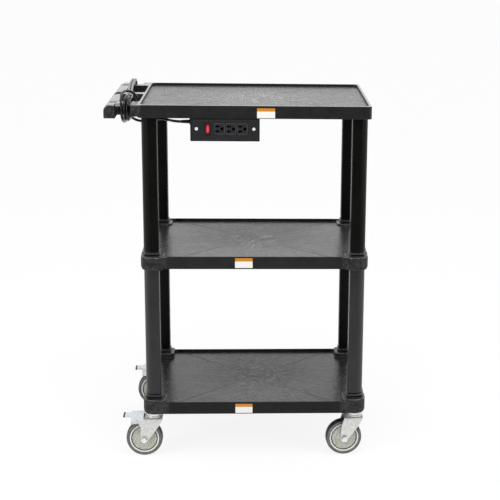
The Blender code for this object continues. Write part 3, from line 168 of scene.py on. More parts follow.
shelf_centre = 0.04325
top_rim = 0.980
cord_d = 0.0070
fold_r = 0.0210
layer_step = 0.0077
fold_y = 0.191
pitch = 0.0075
hank_x = -0.3263
hank_drop = 0.0155
top_sag = 0.0012
bottom_sag = 0.0100
lean = 0.017
lean_y = 0.150
fold_share = math.pi * fold_r / (2 * (math.pi * fold_r + 2 * fold_y))
reverse_turn = 2.0
climb_start = reverse_turn - 0.5 + fold_share

run_route = [
    (-0.2080, -0.2020, 0.9345), (-0.2250, -0.1960, 0.9365), (-0.2400, -0.1850, 0.9380),
    (-0.2560, -0.1730, 0.9360), (-0.2740, -0.1610, 0.9305), (-0.2930, -0.1520, 0.9265),
    (-0.3070, -0.1490, 0.9270), (-0.3190, -0.1565, 0.9330),
]
tail_route = [
    (-0.3429, 0.1640, 0.9310), (-0.3432, 0.1280, 0.9240), (-0.3450, 0.0850, 0.9188),
    (-0.3465, 0.0350, 0.9155), (-0.3470, -0.0200, 0.9148), (-0.3463, -0.0800, 0.9168),
    (-0.3459, -0.1300, 0.9215), (-0.3457, -0.1700, 0.9290), (-0.3457, -0.2000, 0.9400),
    (-0.3457, -0.2180, 0.9550), (-0.3457, -0.2220, 0.9720), (-0.3462, -0.2120, 0.9890),
    (-0.3472, -0.1930, 1.0000), (-0.3440, -0.1700, 1.0055), (-0.3380, -0.1500, 1.0060),
    (-0.3270, -0.1350, 1.0020), (-0.3160, -0.1260, 0.9910), (-0.3110, -0.1180, 0.9740),
    (-0.3100, -0.1050, 0.9550), (-0.3105, -0.0850, 0.9400), (-0.3120, -0.0550, 0.9335),
    (-0.3130, -0.0200, 0.9320), (-0.3140, 0.0080, 0.9330), (-0.3185, 0.0300, 0.9365),
    (-0.3270, 0.0480, 0.9425), (-0.3370, 0.0640, 0.9490),
]


def smooth_line(points, spacing):
    """A smooth curve through the points, as points at an even spacing."""
    samples = 16
    points = [Vector(point) for point in points]
    ends = [points[0] * 2 - points[1]] + points + [points[-1] * 2 - points[-2]]
    fine = [points[0]]
    for i in range(1, len(ends) - 2):
        before, start, end, after = ends[i - 1:i + 3]
        for step in range(1, samples + 1):
            t = step / samples
            line = start * 2 + (end - before) * t
            line += (before * 2 - start * 5 + end * 4 - after) * t * t
            line += (start * 3 - before - end * 3 + after) * t * t * t
            fine.append(line / 2)
    lengths = [0.0]
    for start, end in zip(fine, fine[1:]):
        lengths.append(lengths[-1] + (end - start).length)
    count = max(2, round(lengths[-1] / spacing))
    line = []
    i = 0
    for k in range(count + 1):
        target = lengths[-1] * k / count
        while i < len(fine) - 2 and lengths[i + 1] < target:
            i += 1
        share = (target - lengths[i]) / max(lengths[i + 1] - lengths[i], 1e-7)
        line.append(fine[i].lerp(fine[i + 1], min(share, 1.0)))
    return line


def hank_point(half, share, on_fold):
    """A point of the winding, `share` of the way along the fold or the straight stretch of a half turn."""
    turn = half / 2 + (fold_share * share if on_fold else fold_share + (0.5 - fold_share) * share)
    climb = min(max((turn - climb_start) / (reverse_turn - climb_start), 0.0), 1.0)
    if turn <= climb_start:
        side = turn
    elif turn >= reverse_turn:
        side = climb_start + reverse_turn - turn
    else:
        side = climb_start + 0.25 * math.sin(math.pi * climb)
    radius = fold_r + layer_step * climb * climb * (3 - 2 * climb)
    end = -1 if half % 2 == 0 else 1
    if on_fold:
        y = end * (fold_y + radius * math.sin(math.pi * share))
        z = end * radius * math.cos(math.pi * share)
    else:
        y = end * fold_y * (1 - 2 * share)
        sag = top_sag if end < 0 else bottom_sag
        z = -end * radius - sag * (1 - (y / fold_y) ** 2)
    t = min(max((y + lean_y) / (2 * lean_y), 0.0), 1.0)
    shift = -lean * t * t * (3 - 2 * t)
    return Vector((hank_x - pitch * side + shift, y, top_rim - hank_drop + z))


half_turns = 7
fold_steps = 10
straight_steps = 8
wound = []
for half in range(half_turns):
    wound += [hank_point(half, i / fold_steps, True) for i in range(fold_steps)]
    wound += [hank_point(half, i / straight_steps, False) for i in range(straight_steps)]
wound += [hank_point(half_turns, i / fold_steps, True) for i in range(fold_steps + 1)]
gland_y = -0.204
gland_z = 0.9342
line_step = 0.012
back = Vector((0, cord_d, 0))
gap = Vector((0, 0.0003, 0))
exit_point = Vector((-0.1928, gland_y, gland_z))
run = [exit_point - Vector((cord_d, 0, 0))] + run_route + [wound[0] + back * 2 + gap]
run = [exit_point] + smooth_line(run, line_step)
tail_end = Vector((-0.344, 0.0867, 0.9525))
tail = [wound[-1] - back * 2 - gap] + tail_route + [tail_end - back]
tail = smooth_line(tail, line_step) + [tail_end]
lead_line = run + [wound[0] + back] + wound + [wound[-1] - back] + tail
lead_line = [point + Vector((shelf_centre, 0, 0)) for point in lead_line]

lead_curve = bpy.data.curves.new("mains_lead", "CURVE")
lead_curve.dimensions = "3D"
lead_curve.bevel_depth = cord_d / 2
lead_curve.bevel_resolution = 4
lead_curve.use_fill_caps = True
spline = lead_curve.splines.new("POLY")
spline.points.add(len(lead_line) - 1)
for point, place in zip(spline.points, lead_line):
    point.co = (*place, 1.0)
spline.use_smooth = True
lead = bpy.data.objects.new("mains_lead", lead_curve)
bpy.context.scene.collection.objects.link(lead)


def adjust(material, settings):
    """Sets constants on a material's shader, each by the name of its input."""
    for key, value in settings.items():
        material.node_tree.nodes["Principled BSDF"].inputs[key].default_value = value


def plastic(name, roughness, ior=1.5):
    """A new material, its tree and its object coordinates."""
    made = bpy.data.materials.new(name)
    made.use_nodes = True
    adjust(made, {"Roughness": roughness, "IOR": ior})
    return made, made.node_tree, add_node(made.node_tree, "ShaderNodeTexCoord").outputs["Object"]


def wire(made, links):
    """Links the inputs of a material's shader and gives the material back."""
    connect(made.node_tree, made.node_tree.nodes["Principled BSDF"], links)
    return made


def surface(made, pattern, tones, height, relief, worn=None):
    """Finishes a material: a pattern turns its colour through the tones, a height gives it relief of a
    strength and a depth in metres, and where `worn` is given, its roughness follows the pattern too."""
    tree = made.node_tree
    strength, depth = relief
    tone = add_node(tree, "ShaderNodeValToRGB", {"stops": tones}, {0: pattern})
    bump = add_node(tree, "ShaderNodeBump", {"Strength": strength, "Distance": depth}, {"Height": height})
    links = {"Base Color": tone, "Normal": bump}
    if worn:
        links["Roughness"] = add_node(tree, "ShaderNodeMapRange", worn, {"Value": pattern})
    return wire(made, links)


def rubber_jacket(name, dark, light, roughness):
    """Extruded vinyl-rubber jacket: a soft sheen, dusted in clouds 11 mm across, with a matt grain from the
    die. The grain is drawn 1 mm across, coarser than it is, so that it shows."""
    made, tree, place = plastic(name, roughness)
    dust = add_node(tree, "ShaderNodeTexNoise", {"Scale": 90.0, "Detail": 5.0, "Roughness": 0.65},
                    {"Vector": place})
    grain = add_node(tree, "ShaderNodeTexNoise", {"Scale": 900.0, "Detail": 1.0}, {"Vector": place})
    worn = {"To Min": roughness - 0.06, "To Max": roughness + 0.10}
    return surface(made, dust, ((0.38, dark), (0.72, light)), grain, (0.10, 0.0002), worn)


jacket = rubber_jacket("vinyl_rubber_jacket", "#050505", "#0e0e0e", 0.19)
lead_curve.materials.append(jacket)
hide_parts("cord_run", "cord_hank", "cord_tail")
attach(lead, "cart")


def turned(name, profile, steps, centre, axis, start):
    """Spins a profile of (radius, distance along the axis) about an axis through centre."""
    clear_selection()
    axis = Vector(axis)
    start = Vector(start)
    spots = [Vector(centre) + start * radius + axis * along for radius, along in profile]
    bpy.ops.mesh.primitive_plane_add(size=0.001, location=spots[0])
    piece = bpy.context.object
    piece.name = name
    bpy.ops.object.transform_apply(location=True, rotation=True, scale=True)
    bpy.ops.object.mode_set(mode="EDIT")
    bpy.ops.mesh.select_mode(type="VERT")
    bpy.ops.mesh.select_all(action="SELECT")
    bpy.ops.mesh.merge(type="CENTER")
    for here, there in zip(spots, spots[1:]):
        bpy.ops.mesh.extrude_region_move(TRANSFORM_OT_translate={"value": tuple(there - here)})
    bpy.ops.mesh.select_all(action="SELECT")
    bpy.ops.mesh.spin(steps=steps, angle=math.radians(360), center=centre, axis=axis)
    bpy.ops.mesh.select_all(action="SELECT")
    bpy.ops.mesh.remove_doubles(threshold=0.00001)
    bpy.ops.mesh.normals_make_consistent(inside=False)
    bpy.ops.object.mode_set(mode="OBJECT")
    bpy.ops.object.shade_smooth_by_angle(angle=math.radians(34))
    return piece


strip_left = shelf_centre - 0.1685
relief = [(0.0, 0.0063), (0.0060, 0.0063), (0.0064, 0.0059), (0.0064, 0.0038), (0.0053, 0.0038),
          (0.0053, -0.0003), (0.0078, -0.0003), (0.0082, -0.0007), (0.0082, -0.0021), (0.0078, -0.0025),
          (0.0054, -0.0025)]
for rib in range(6):
    along = -0.0040 - 0.0032 * rib
    rib_r = 0.0053 - 0.00016 * rib
    neck_r = rib_r - 0.0007
    relief += [(rib_r, along + 0.0009), (rib_r, along - 0.0008)]
    relief += [(neck_r, along - 0.0011), (neck_r, along - 0.0020)]
relief += [(0.0044, -0.0228), (0.0043, -0.0240), (0.0, -0.0240)]
gland = turned("strain_relief", relief, 32, (strip_left, gland_y, gland_z), (1, 0, 0), (0, 0, 1))
gland.data.materials.append(jacket)
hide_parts("cord_gland")
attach(gland, "cart")


def take(piece):
    """Makes a piece the only selected and the active one."""
    clear_selection()
    piece.select_set(True)
    bpy.context.view_layer.objects.active = piece


def settle_normals(piece):
    """Weights shading normals by face area, so that flat faces shade flat and only the eased edges turn."""
    take(piece)
    weigh = piece.modifiers.new("weighted_normals", "WEIGHTED_NORMAL")
    weigh.keep_sharp = True
    bpy.ops.object.modifier_apply(modifier=weigh.name)


def eased_copy(node, name, edge, segments=2, smooth=38):
    """A copy of a CAD node's mesh, merged to clean faces, with its sharp edges rounded by `edge` metres."""
    take(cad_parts[node])
    bpy.ops.object.duplicate()
    piece = bpy.context.object
    piece.name = name
    piece.data.name = name
    piece.data.materials.clear()
    bpy.ops.object.mode_set(mode="EDIT")
    bpy.ops.mesh.select_all(action="SELECT")
    bpy.ops.mesh.remove_doubles(threshold=0.00002)
    bpy.ops.mesh.dissolve_limited(angle_limit=math.radians(0.6))
    bpy.ops.object.mode_set(mode="OBJECT")
    bevel = piece.modifiers.new("eased_edges", "BEVEL")
    bevel.width = edge
    bevel.segments = segments
    bevel.limit_method = "ANGLE"
    bevel.angle_limit = math.radians(32)
    bevel.use_clamp_overlap = False
    bevel.harden_normals = False
    bpy.ops.object.modifier_apply(modifier=bevel.name)
    low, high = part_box(node)
    for corner in piece.data.vertices:
        corner.co = [min(max(value, least), most) for value, least, most in zip(corner.co, low, high)]
    bpy.ops.object.shade_smooth_by_angle(angle=math.radians(smooth))
    settle_normals(piece)
    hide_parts(node)
    return piece


plug = eased_copy("plug", "moulded_plug", 0.0006, 3)
plug.data.materials.append(jacket)
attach(plug, "cart")


def drawn_metal(name, dark, light, roughness, direction, spacing_mm):
    """Bare metal with fine lines, drawn `spacing_mm` apart so that they show; `direction` stretches them
    along the way the metal was drawn."""
    made, tree, place = plastic(name, roughness)
    adjust(made, {"Metallic": 1.0})
    scale = [1000.0 / spacing_mm * (0.03 if stretched else 1.0) for stretched in direction]
    stretch = add_node(tree, "ShaderNodeMapping", {"Scale": scale}, {"Vector": place})
    lines = add_node(tree, "ShaderNodeTexNoise", {"Scale": 1.0, "Detail": 4.0, "Roughness": 0.6},
                     {"Vector": stretch})
    worn = {"To Min": roughness - 0.07, "To Max": roughness + 0.10}
    return surface(made, lines, ((0.25, dark), (0.75, light)), lines, (0.15, 0.0002), worn)


brass = drawn_metal("bright_brass", "#b8964f", "#d9bd7a", 0.26, (False, True, False), 0.8)
plug_face_y = 0.1405
pins = eased_copy("plug_pins", "plug_blades", 0.0002)
pins.data.materials.append(brass)
pins.data.materials.append(jacket)
for face in pins.data.polygons:
    face.material_index = 1 if face.center.y < plug_face_y else 0
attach(pins, "cart")


# Shelves
# Three black structural-foam polyethylene mouldings: tray floors with the swirl that the foam leaves as it
# flows out from the gates, smooth skirts, and corner bosses etched with a coarse pebble. They copy the
# CAD shape, merged, with their arrises eased as a mould leaves them.

def foam_skin(name, dark, light, roughness, ior=1.46):
    """Smooth skirt of a foam moulding: a faint tone in clouds 36 mm across and a very fine orange peel, 2 mm
    across."""
    made, tree, place = plastic(name, roughness, ior)
    cloud = add_node(tree, "ShaderNodeTexNoise", {"Scale": 28.0, "Detail": 4.0, "Roughness": 0.6},
                     {"Vector": place})
    peel = add_node(tree, "ShaderNodeTexNoise", {"Scale": 480.0, "Detail": 2.0}, {"Vector": place})
    worn = {"To Min": roughness - 0.06, "To Max": roughness + 0.08}
    return surface(made, cloud, ((0.32, dark), (0.70, light)), peel, (0.12, 0.0004), worn)


def etched_pebble(name, dark, light, grain_mm, depth, roughness):
    """Pebble etched in the mould: rounded cells `grain_mm` across with lighter tops, partly wear and partly
    painted glints.
    """
    made, tree, place = plastic(name, roughness, 1.46)
    cells = add_node(tree, "ShaderNodeTexVoronoi", {"Scale": 1000.0 / grain_mm, "feature": "SMOOTH_F1"},
                     {"Vector": place})
    blotch = add_node(tree, "ShaderNodeTexNoise",
                      {"Scale": 1000.0 / (grain_mm * 4), "Detail": 5.0, "Roughness": 0.7}, {"Vector": place})
    mixed = add_node(tree, "ShaderNodeMath", {"operation": "MULTIPLY_ADD", 1: -0.55},
                     {0: cells.outputs["Distance"], 2: blotch})
    return surface(made, mixed, ((0.12, dark), (0.55, light)), mixed, (0.8, depth))


def flow_marks(name, dark, light, roughness, ior):
    """Tray floor of a foam moulding: swirl round the gate, streaks that fan out from it and knit lines along
    the diagonals where the fronts of the flow met. They are mostly relief, with little change of colour."""
    spokes = 24.0
    wander = 0.07
    diagonal = 0.7071
    made, tree, place = plastic(name, roughness, ior)
    centred = add_node(tree, "ShaderNodeMapping", {"Location": (-shelf_centre, 0, 0)}, {"Vector": place})
    flat = add_node(tree, "ShaderNodeVectorMath", {"operation": "MULTIPLY", 1: (1, 1, 0)}, {0: centred})
    warp = add_node(tree, "ShaderNodeTexNoise", {"Scale": 9.0, "Detail": 3.0}, {"Vector": place})
    drift = {"operation": "MULTIPLY_ADD", 1: (wander, wander, 0), 2: (-wander / 2, -wander / 2, 0)}
    offset = add_node(tree, "ShaderNodeVectorMath", drift, {0: warp.outputs["Color"]})
    wavy = add_node(tree, "ShaderNodeVectorMath", {"operation": "ADD"}, {0: flat, 1: offset})
    length = add_node(tree, "ShaderNodeVectorMath", {"operation": "LENGTH"}, {0: wavy})
    radius = length.outputs["Value"]
    way = add_node(tree, "ShaderNodeVectorMath", {"operation": "NORMALIZE"}, {0: wavy})
    fan = add_node(tree, "ShaderNodeVectorMath", {"operation": "SCALE", "Scale": spokes}, {0: way})
    along = add_node(tree, "ShaderNodeMath", {"operation": "MULTIPLY", 1: spokes}, {0: radius})
    lift = add_node(tree, "ShaderNodeCombineXYZ", links={"Z": along})
    fanned = add_node(tree, "ShaderNodeVectorMath", {"operation": "ADD"}, {0: fan, 1: lift})
    streaks = add_node(tree, "ShaderNodeTexNoise",
                       {"Scale": 1.0, "Detail": 5.0, "Roughness": 0.62, "Distortion": 0.5},
                       {"Vector": fanned})
    swirl = add_node(tree, "ShaderNodeTexNoise",
                     {"Scale": 56.0, "Detail": 6.0, "Roughness": 0.68, "Distortion": 1.6}, {"Vector": place})
    swing = add_node(tree, "ShaderNodeMath", {"operation": "SUBTRACT", 1: 0.5}, {0: swirl})
    near_gate = add_node(tree, "ShaderNodeMapRange",
                         {"From Min": 0.04, "From Max": 0.24, "To Min": 2.2, "To Max": 0.45},
                         {"Value": radius})
    haze = add_node(tree, "ShaderNodeMapRange",
                    {"From Min": 0.04, "From Max": 0.22, "To Min": 0.16, "To Max": -0.07}, {"Value": radius})
    hazed = add_node(tree, "ShaderNodeMath", {"operation": "ADD"}, {0: streaks, 1: haze})
    blend = add_node(tree, "ShaderNodeMath", {"operation": "MULTIPLY_ADD"},
                     {0: swing, 1: near_gate, 2: hazed})
    spread = add_node(tree, "ShaderNodeMapRange", {"From Min": 0.24, "From Max": 0.76}, {"Value": blend})
    almost = add_node(tree, "ShaderNodeVectorMath", {"operation": "MULTIPLY_ADD", 1: (0.12, 0.12, 0)},
                      {0: offset, 2: flat})
    lines = []
    for slope in (diagonal, -diagonal):
        across = add_node(tree, "ShaderNodeVectorMath",
                          {"operation": "DOT_PRODUCT", 1: (diagonal, slope, 0)}, {0: almost})
        away = add_node(tree, "ShaderNodeMath", {"operation": "ABSOLUTE"}, {0: across.outputs["Value"]})
        lines.append(add_node(tree, "ShaderNodeMapRange",
                              {"From Min": 0.0006, "From Max": 0.0032, "To Min": 1.0, "To Max": 0.0},
                              {"Value": away}))
    crossed = add_node(tree, "ShaderNodeMath", {"operation": "MAXIMUM"}, {0: lines[0], 1: lines[1]})
    begun = add_node(tree, "ShaderNodeMapRange", {"From Min": 0.05, "From Max": 0.12}, {"Value": radius})
    knit = add_node(tree, "ShaderNodeMath", {"operation": "MULTIPLY"}, {0: crossed, 1: begun})
    relief_height = add_node(tree, "ShaderNodeMath", {"operation": "MULTIPLY_ADD", 1: -0.8},
                             {0: knit, 2: spread})
    # glow paints the floor lighter round the gate and darker towards its edges, as painted light and shade.
    glow = add_node(tree, "ShaderNodeMapRange",
                    {"From Min": 0.04, "From Max": 0.24, "To Min": 0.42, "To Max": 0.05}, {"Value": radius})
    shade = add_node(tree, "ShaderNodeMath", {"operation": "MULTIPLY_ADD", 1: 0.40},
                     {0: relief_height, 2: glow})
    tone = add_node(tree, "ShaderNodeValToRGB", {"stops": ((0.0, dark), (1.0, light))}, {0: shade})
    gloss = add_node(tree, "ShaderNodeMapRange", {"To Min": roughness + 0.10, "To Max": roughness - 0.06},
                     {"Value": spread})
    dulled = add_node(tree, "ShaderNodeMath", {"operation": "MULTIPLY_ADD", 1: 0.16}, {0: knit, 2: gloss})
    calmer = add_node(tree, "ShaderNodeMapRange",
                      {"From Min": 0.06, "From Max": 0.25, "To Min": 0.80, "To Max": 0.30},
                      {"Value": radius})
    bump = add_node(tree, "ShaderNodeBump", {"Distance": 0.0015},
                    {"Strength": calmer, "Height": relief_height})
    return wire(made, {"Base Color": tone, "Normal": bump, "Roughness": dulled})


# The far lips' inner side is painted near-black, as painted shade. The grip, the top shelf's lips and the
# up-facing edges of the lower shelves' bosses are painted a paler grey, as painted highlights. The grip and
# the lips are also polished with a coat, so they shine at a low angle.
skirt_foam = foam_skin("moulded_polyethylene_skirt", "#131314", "#1d1d1f", 0.50)
# The bottom shelf's skirt is the same foam painted darker, as painted shade.
low_skirt_painted_shade = foam_skin("moulded_polyethylene_low_skirt_painted_shade", "#0d0d0e", "#151516", 0.50, 1.36)
shaded_foam = foam_skin("unlit_inner_lip", "#040404", "#080808", 0.70)
boss_pebble = etched_pebble("pebble_etched_boss", "#09090a", "#3e3e40", 3.6, 0.0006, 0.62)
arris_painted_highlight = etched_pebble("pebble_arris_painted_highlight", "#303032", "#7c7c7e", 3.0, 0.0006, 0.50)
grip_painted_highlight = etched_pebble("pebble_grip_painted_highlight", "#242425", "#9a9a9a", 4.2, 0.0010, 0.40)
lip_painted_highlight = etched_pebble("pebble_lip_painted_highlight", "#3c3c3d", "#8c8c8c", 4.0, 0.0006, 0.40)
front_lip = etched_pebble("pebble_front_lip_painted_highlight", "#78787a", "#c0c0c0", 4.0, 0.0004, 0.30)
for polished in (grip_painted_highlight, lip_painted_highlight, front_lip):
    adjust(polished, {"IOR": 1.9, "Coat Weight": 1.0, "Coat IOR": 1.8, "Coat Roughness": 0.26})
# The three trays are one floor finish painted darker the lower they stand: painted shade from the shelves
# above.
tray_floors = {
    "top": flow_marks("foam_flow_tray_top", "#19191a", "#8e8e90", 0.24, 1.58),
    "middle": flow_marks("foam_flow_tray_middle", "#101011", "#7a7a7c", 0.18, 1.44),
    "bottom": flow_marks("foam_flow_tray_bottom", "#0a0a0b", "#666668", 0.15, 1.35),
}


def slice_active(planes):
    """Cuts the active piece's faces along planes, each a point and a direction, without taking any away."""
    bpy.ops.object.mode_set(mode="EDIT")
    for place, way in planes:
        bpy.ops.mesh.select_all(action="SELECT")
        bpy.ops.mesh.bisect(plane_co=place, plane_no=way)
    bpy.ops.object.mode_set(mode="OBJECT")


rims = {"top": top_rim, "middle": 0.575, "bottom": 0.163}
boss_x = 0.2345
boss_y = 0.166
far_lip_y = 0.2205
front_lip_y = -0.2160
handle_x = -0.3050
pad_x = -0.3580
pad_gap_y = 0.020
lip_top = -0.001
far_lip_foot = -0.008
floor_level = -0.012
for level_name, rim in rims.items():
    shelf = eased_copy(level_name + "_shelf", level_name + "_shelf_moulding", 0.0007)
    finishes = {
        "skirt": low_skirt_painted_shade if level_name == "bottom" else skirt_foam, "boss": boss_pebble,
        "floor": tray_floors[level_name], "grip": grip_painted_highlight, "far lip": shaded_foam, "lip": lip_painted_highlight,
        "arris": arris_painted_highlight, "front lip": front_lip,
    }
    for finish in finishes.values():
        shelf.data.materials.append(finish)
    slice_active([((shelf_centre - boss_x, 0, 0), (1, 0, 0)), ((shelf_centre + boss_x, 0, 0), (1, 0, 0)),
                  ((0, far_lip_y, 0), (0, 1, 0)), ((0, front_lip_y, 0), (0, 1, 0))])
    top = level_name == "top"
    for face in shelf.data.polygons:
        x = face.center.x - shelf_centre
        y = face.center.y
        above = face.center.z - rim
        up = face.normal.z
        on_boss = abs(x) > boss_x and abs(y) > boss_y
        faces_in = up > -0.1 and face.normal.y < 0.5
        finish = "skirt"
        if top and x < handle_x:
            # On the handle the up-facing faces take the pale grip pebble as painted highlight; the gap
            # between the pads keeps the dark boss pebble as painted shade.
            between_pads = x < pad_x and abs(y) < pad_gap_y
            finish = "grip" if up > 0.35 and not between_pads else "boss"
        elif y > far_lip_y and above > far_lip_foot and faces_in and (top or not on_boss):
            # The far lip's inner side and top are painted near-black, as painted shade.
            finish = "far lip"
        elif top and up > 0.9 and above > lip_top:
            # The top shelf's lips are painted pale, the front one palest, as painted highlights.
            finish = "front lip" if y < front_lip_y else "lip"
        elif up > 0.9 and above > floor_level:
            finish = "floor"
        elif on_boss and not top:
            # Boss faces turned up are painted paler, as painted highlight.
            finish = "arris" if up > 0.25 else "boss"
        face.material_index = list(finishes).index(finish)
    settle_normals(shelf)
    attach(shelf, "cart")


# Reinforcing bars
# Two flat aluminium extrusions snapped into the ribs under each shelf. Mill finish: fine lines along the bar
# from the die, which stretch every reflection across it.

mill_aluminium = drawn_metal("mill_finish_aluminium", "#b4b6b9", "#d4d6d8", 0.38, (True, False, False), 1.2)
for level_name in rims:
    for side in ("front", "back"):
        bar = eased_copy(level_name + "_shelf_bar_" + side, level_name + "_bar_" + side, 0.0004)
        bar.data.materials.append(mill_aluminium)
        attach(bar, "cart")


# Legs
# Eight hollow moulded legs with one large rounded corner. A collar with a groove above and below stands on
# each boss. The plastic is smooth and glossier than the shelves, with faint long draw lines down it.

def leg_skin(name, dark, light, roughness, ior=1.5):
    """Smooth moulded leg: a quiet sheen with faint draw lines down it, 4 mm apart, and a cloudy tone."""
    made, tree, place = plastic(name, roughness, ior)
    stretch = add_node(tree, "ShaderNodeMapping", {"Scale": (260, 260, 3.0)}, {"Vector": place})
    lines = add_node(tree, "ShaderNodeTexNoise", {"Scale": 1.0, "Detail": 3.0}, {"Vector": stretch})
    cloud = add_node(tree, "ShaderNodeTexNoise", {"Scale": 14.0, "Detail": 4.0, "Roughness": 0.6},
                     {"Vector": place})
    mixed = add_node(tree, "ShaderNodeMath", {"operation": "MULTIPLY_ADD", 1: 0.35}, {0: lines, 2: cloud})
    worn = {"From Min": 0.4, "From Max": 1.0, "To Min": roughness - 0.05, "To Max": roughness + 0.08}
    return surface(made, mixed, ((0.45, dark), (0.95, light)), mixed, (0.10, 0.0005), worn)


# The lower legs at the front are painted paler than the rest, as painted light. The grooves are painted
# black, as painted shade, and the collar between them is painted paler, as a painted highlight.
dark_leg = leg_skin("moulded_leg_black", "#040403", "#0c0c09", 0.42, 1.25)
lit_leg_painted_light = leg_skin("moulded_leg_painted_light", "#1b1b1c", "#29292a", 0.40)
groove_black = leg_skin("unlit_leg_groove", "#020202", "#060606", 0.70)
collar_painted_highlight = leg_skin("leg_collar_painted_highlight", "#2c2c2d", "#474748", 0.34)
feet = {"upper": 0.5725, "lower": 0.1690}
lower_groove_top = 0.0045
sheen_top = 0.0084
upper_groove_top = 0.0122
for corner in ("fl", "fr", "bl", "br"):
    for tier, foot in feet.items():
        node = "leg_" + tier + "_" + corner
        leg = eased_copy(node, "leg_" + tier + "_moulding_" + corner, 0.0004, smooth=34)
        leg.data.materials.append(lit_leg_painted_light if tier == "lower" and corner in ("fl", "fr") else dark_leg)
        leg.data.materials.append(groove_black)
        leg.data.materials.append(collar_painted_highlight)
        slice_active([((0, 0, foot + height), (0, 0, 1)) for height in (lower_groove_top, upper_groove_top)])
        for face in leg.data.polygons:
            height = face.center.z - foot
            # The collar band is painted paler as painted highlight, and the grooves either side black as
            # painted shade.
            if lower_groove_top + 0.0001 < height < sheen_top:
                face.material_index = 2
            elif 0.0 < height < upper_groove_top:
                face.material_index = 1
        settle_normals(leg)
        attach(leg, "cart")


# Shelf tags
# A generic two-tone stick-on tag on the front of each shelf, printed with nothing: coated paper with an
# orange band over white, 47 mm long.

def printed_paper(name, colour):
    """Coated paper: an even colour with a trace of fibre in it, drawn coarse so that it shows."""
    made, tree, place = plastic(name, 0.42)
    fibre = add_node(tree, "ShaderNodeTexNoise", {"Scale": 420.0, "Detail": 3.0}, {"Vector": place})
    tone = add_node(tree, "ShaderNodeMix",
                    {"data_type": "RGBA", "blend_type": "MULTIPLY", 0: 0.10, 6: linear(colour)},
                    {7: fibre.outputs["Color"]})
    bump = add_node(tree, "ShaderNodeBump", {"Strength": 0.08, "Distance": 0.0001}, {"Height": fibre})
    return wire(made, {"Base Color": tone.outputs[2], "Normal": bump})


tag_white = printed_paper("coated_tag_white", "#f4f2ee")
tag_orange = printed_paper("coated_tag_orange", "#d2861c")
tag_places = {
    "top": (0.0284, 0.9608, 0.0258),
    "middle": (-0.0296, 0.5580, 0.0270),
    "bottom": (-0.0296, 0.1448, 0.0264),
}
tag_width = 0.0468
tag_thickness = 0.00014
band_bottom = 0.0044
tag_back_y = -0.22816
for level_name, (from_centre, z, height) in tag_places.items():
    x = shelf_centre + from_centre
    clear_selection()
    bpy.ops.mesh.primitive_plane_add(size=1, location=(x, tag_back_y, z), rotation=(math.radians(90), 0, 0))
    tag = bpy.context.object
    tag.name = "shelf_tag_" + level_name
    tag.scale = (tag_width, height, 1)
    bpy.ops.object.transform_apply(location=True, rotation=True, scale=True)
    slice_active([((x, tag_back_y, z + band_bottom), (0, 0, 1))])
    bpy.ops.object.mode_set(mode="EDIT")
    bpy.ops.mesh.select_all(action="SELECT")
    bpy.ops.mesh.extrude_region_move(TRANSFORM_OT_translate={"value": (0, -tag_thickness, 0)})
    bpy.ops.mesh.select_all(action="SELECT")
    bpy.ops.mesh.normals_make_consistent(inside=False)
    bpy.ops.object.mode_set(mode="OBJECT")
    tag.data.materials.append(tag_white)
    tag.data.materials.append(tag_orange)
    for face in tag.data.polygons:
        face.material_index = 1 if face.center.z > z + band_bottom + 0.0001 else 0
    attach(tag, "cart")


# Outlet strip
# A black box screwed under the top shelf. Its faceplate holds three grounded outlets laid on their side and
# a lit rocker switch. The housing is semi-matte ABS, the plate finely textured, the screws bright nickel.

def moulded_abs(name, dark, light, roughness, grain_mm, strength):
    """ABS from a spark-eroded mould: an even, fine grain, drawn `grain_mm` across so that it shows."""
    made, tree, place = plastic(name, roughness)
    grain = add_node(tree, "ShaderNodeTexNoise", {"Scale": 1000.0 / grain_mm, "Detail": 2.0},
                     {"Vector": place})
    return surface(made, grain, ((0.35, dark), (0.68, light)), grain, (strength, 0.0003))


def dress(node, name, material, body, edge):
    """An eased copy of a CAD node with its material, attached to its body."""
    piece = eased_copy(node, name, edge)
    piece.data.materials.append(material)
    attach(piece, body)
    return piece


def pick(piece, kind, test):
    """Selects the piece's edges or faces that pass the test, and leaves it in edit mode."""
    bpy.ops.object.mode_set(mode="EDIT")
    bpy.ops.mesh.select_mode(type=kind)
    bpy.ops.mesh.select_all(action="DESELECT")
    bpy.ops.object.mode_set(mode="OBJECT")
    for item in piece.data.edges if kind == "EDGE" else piece.data.polygons:
        item.select = test(item)
    bpy.ops.object.mode_set(mode="EDIT")


# The slot mouths are painted near-black round each slot, as painted shade of the holes. The pale line round
# the plate and the outlets is a painted highlight.
housing_abs = moulded_abs("black_abs_housing", "#0b0b0c", "#151516", 0.42, 1.6, 0.15)
plate_abs = moulded_abs("black_textured_faceplate", "#141517", "#232427", 0.50, 2.4, 0.35)
outlet_nylon = moulded_abs("black_nylon_outlet", "#202022", "#303033", 0.36, 1.2, 0.12)
slot_black = moulded_abs("unlit_slot_mouth", "#010101", "#030303", 0.80, 1.2, 0.05)
adjust(slot_black, {"IOR": 1.10})
edge_painted_highlight = moulded_abs("nylon_edge_painted_highlight", "#454547", "#5e5e61", 0.38, 1.2, 0.10)
dress("power_housing", "strip_housing", housing_abs, "cart", 0.0005)
plate = dress("power_faceplate", "strip_faceplate", plate_abs, "cart", 0.0006)
plate.data.materials.append(edge_painted_highlight)
dress("switch_bezel", "switch_frame", housing_abs, "cart", 0.0003)

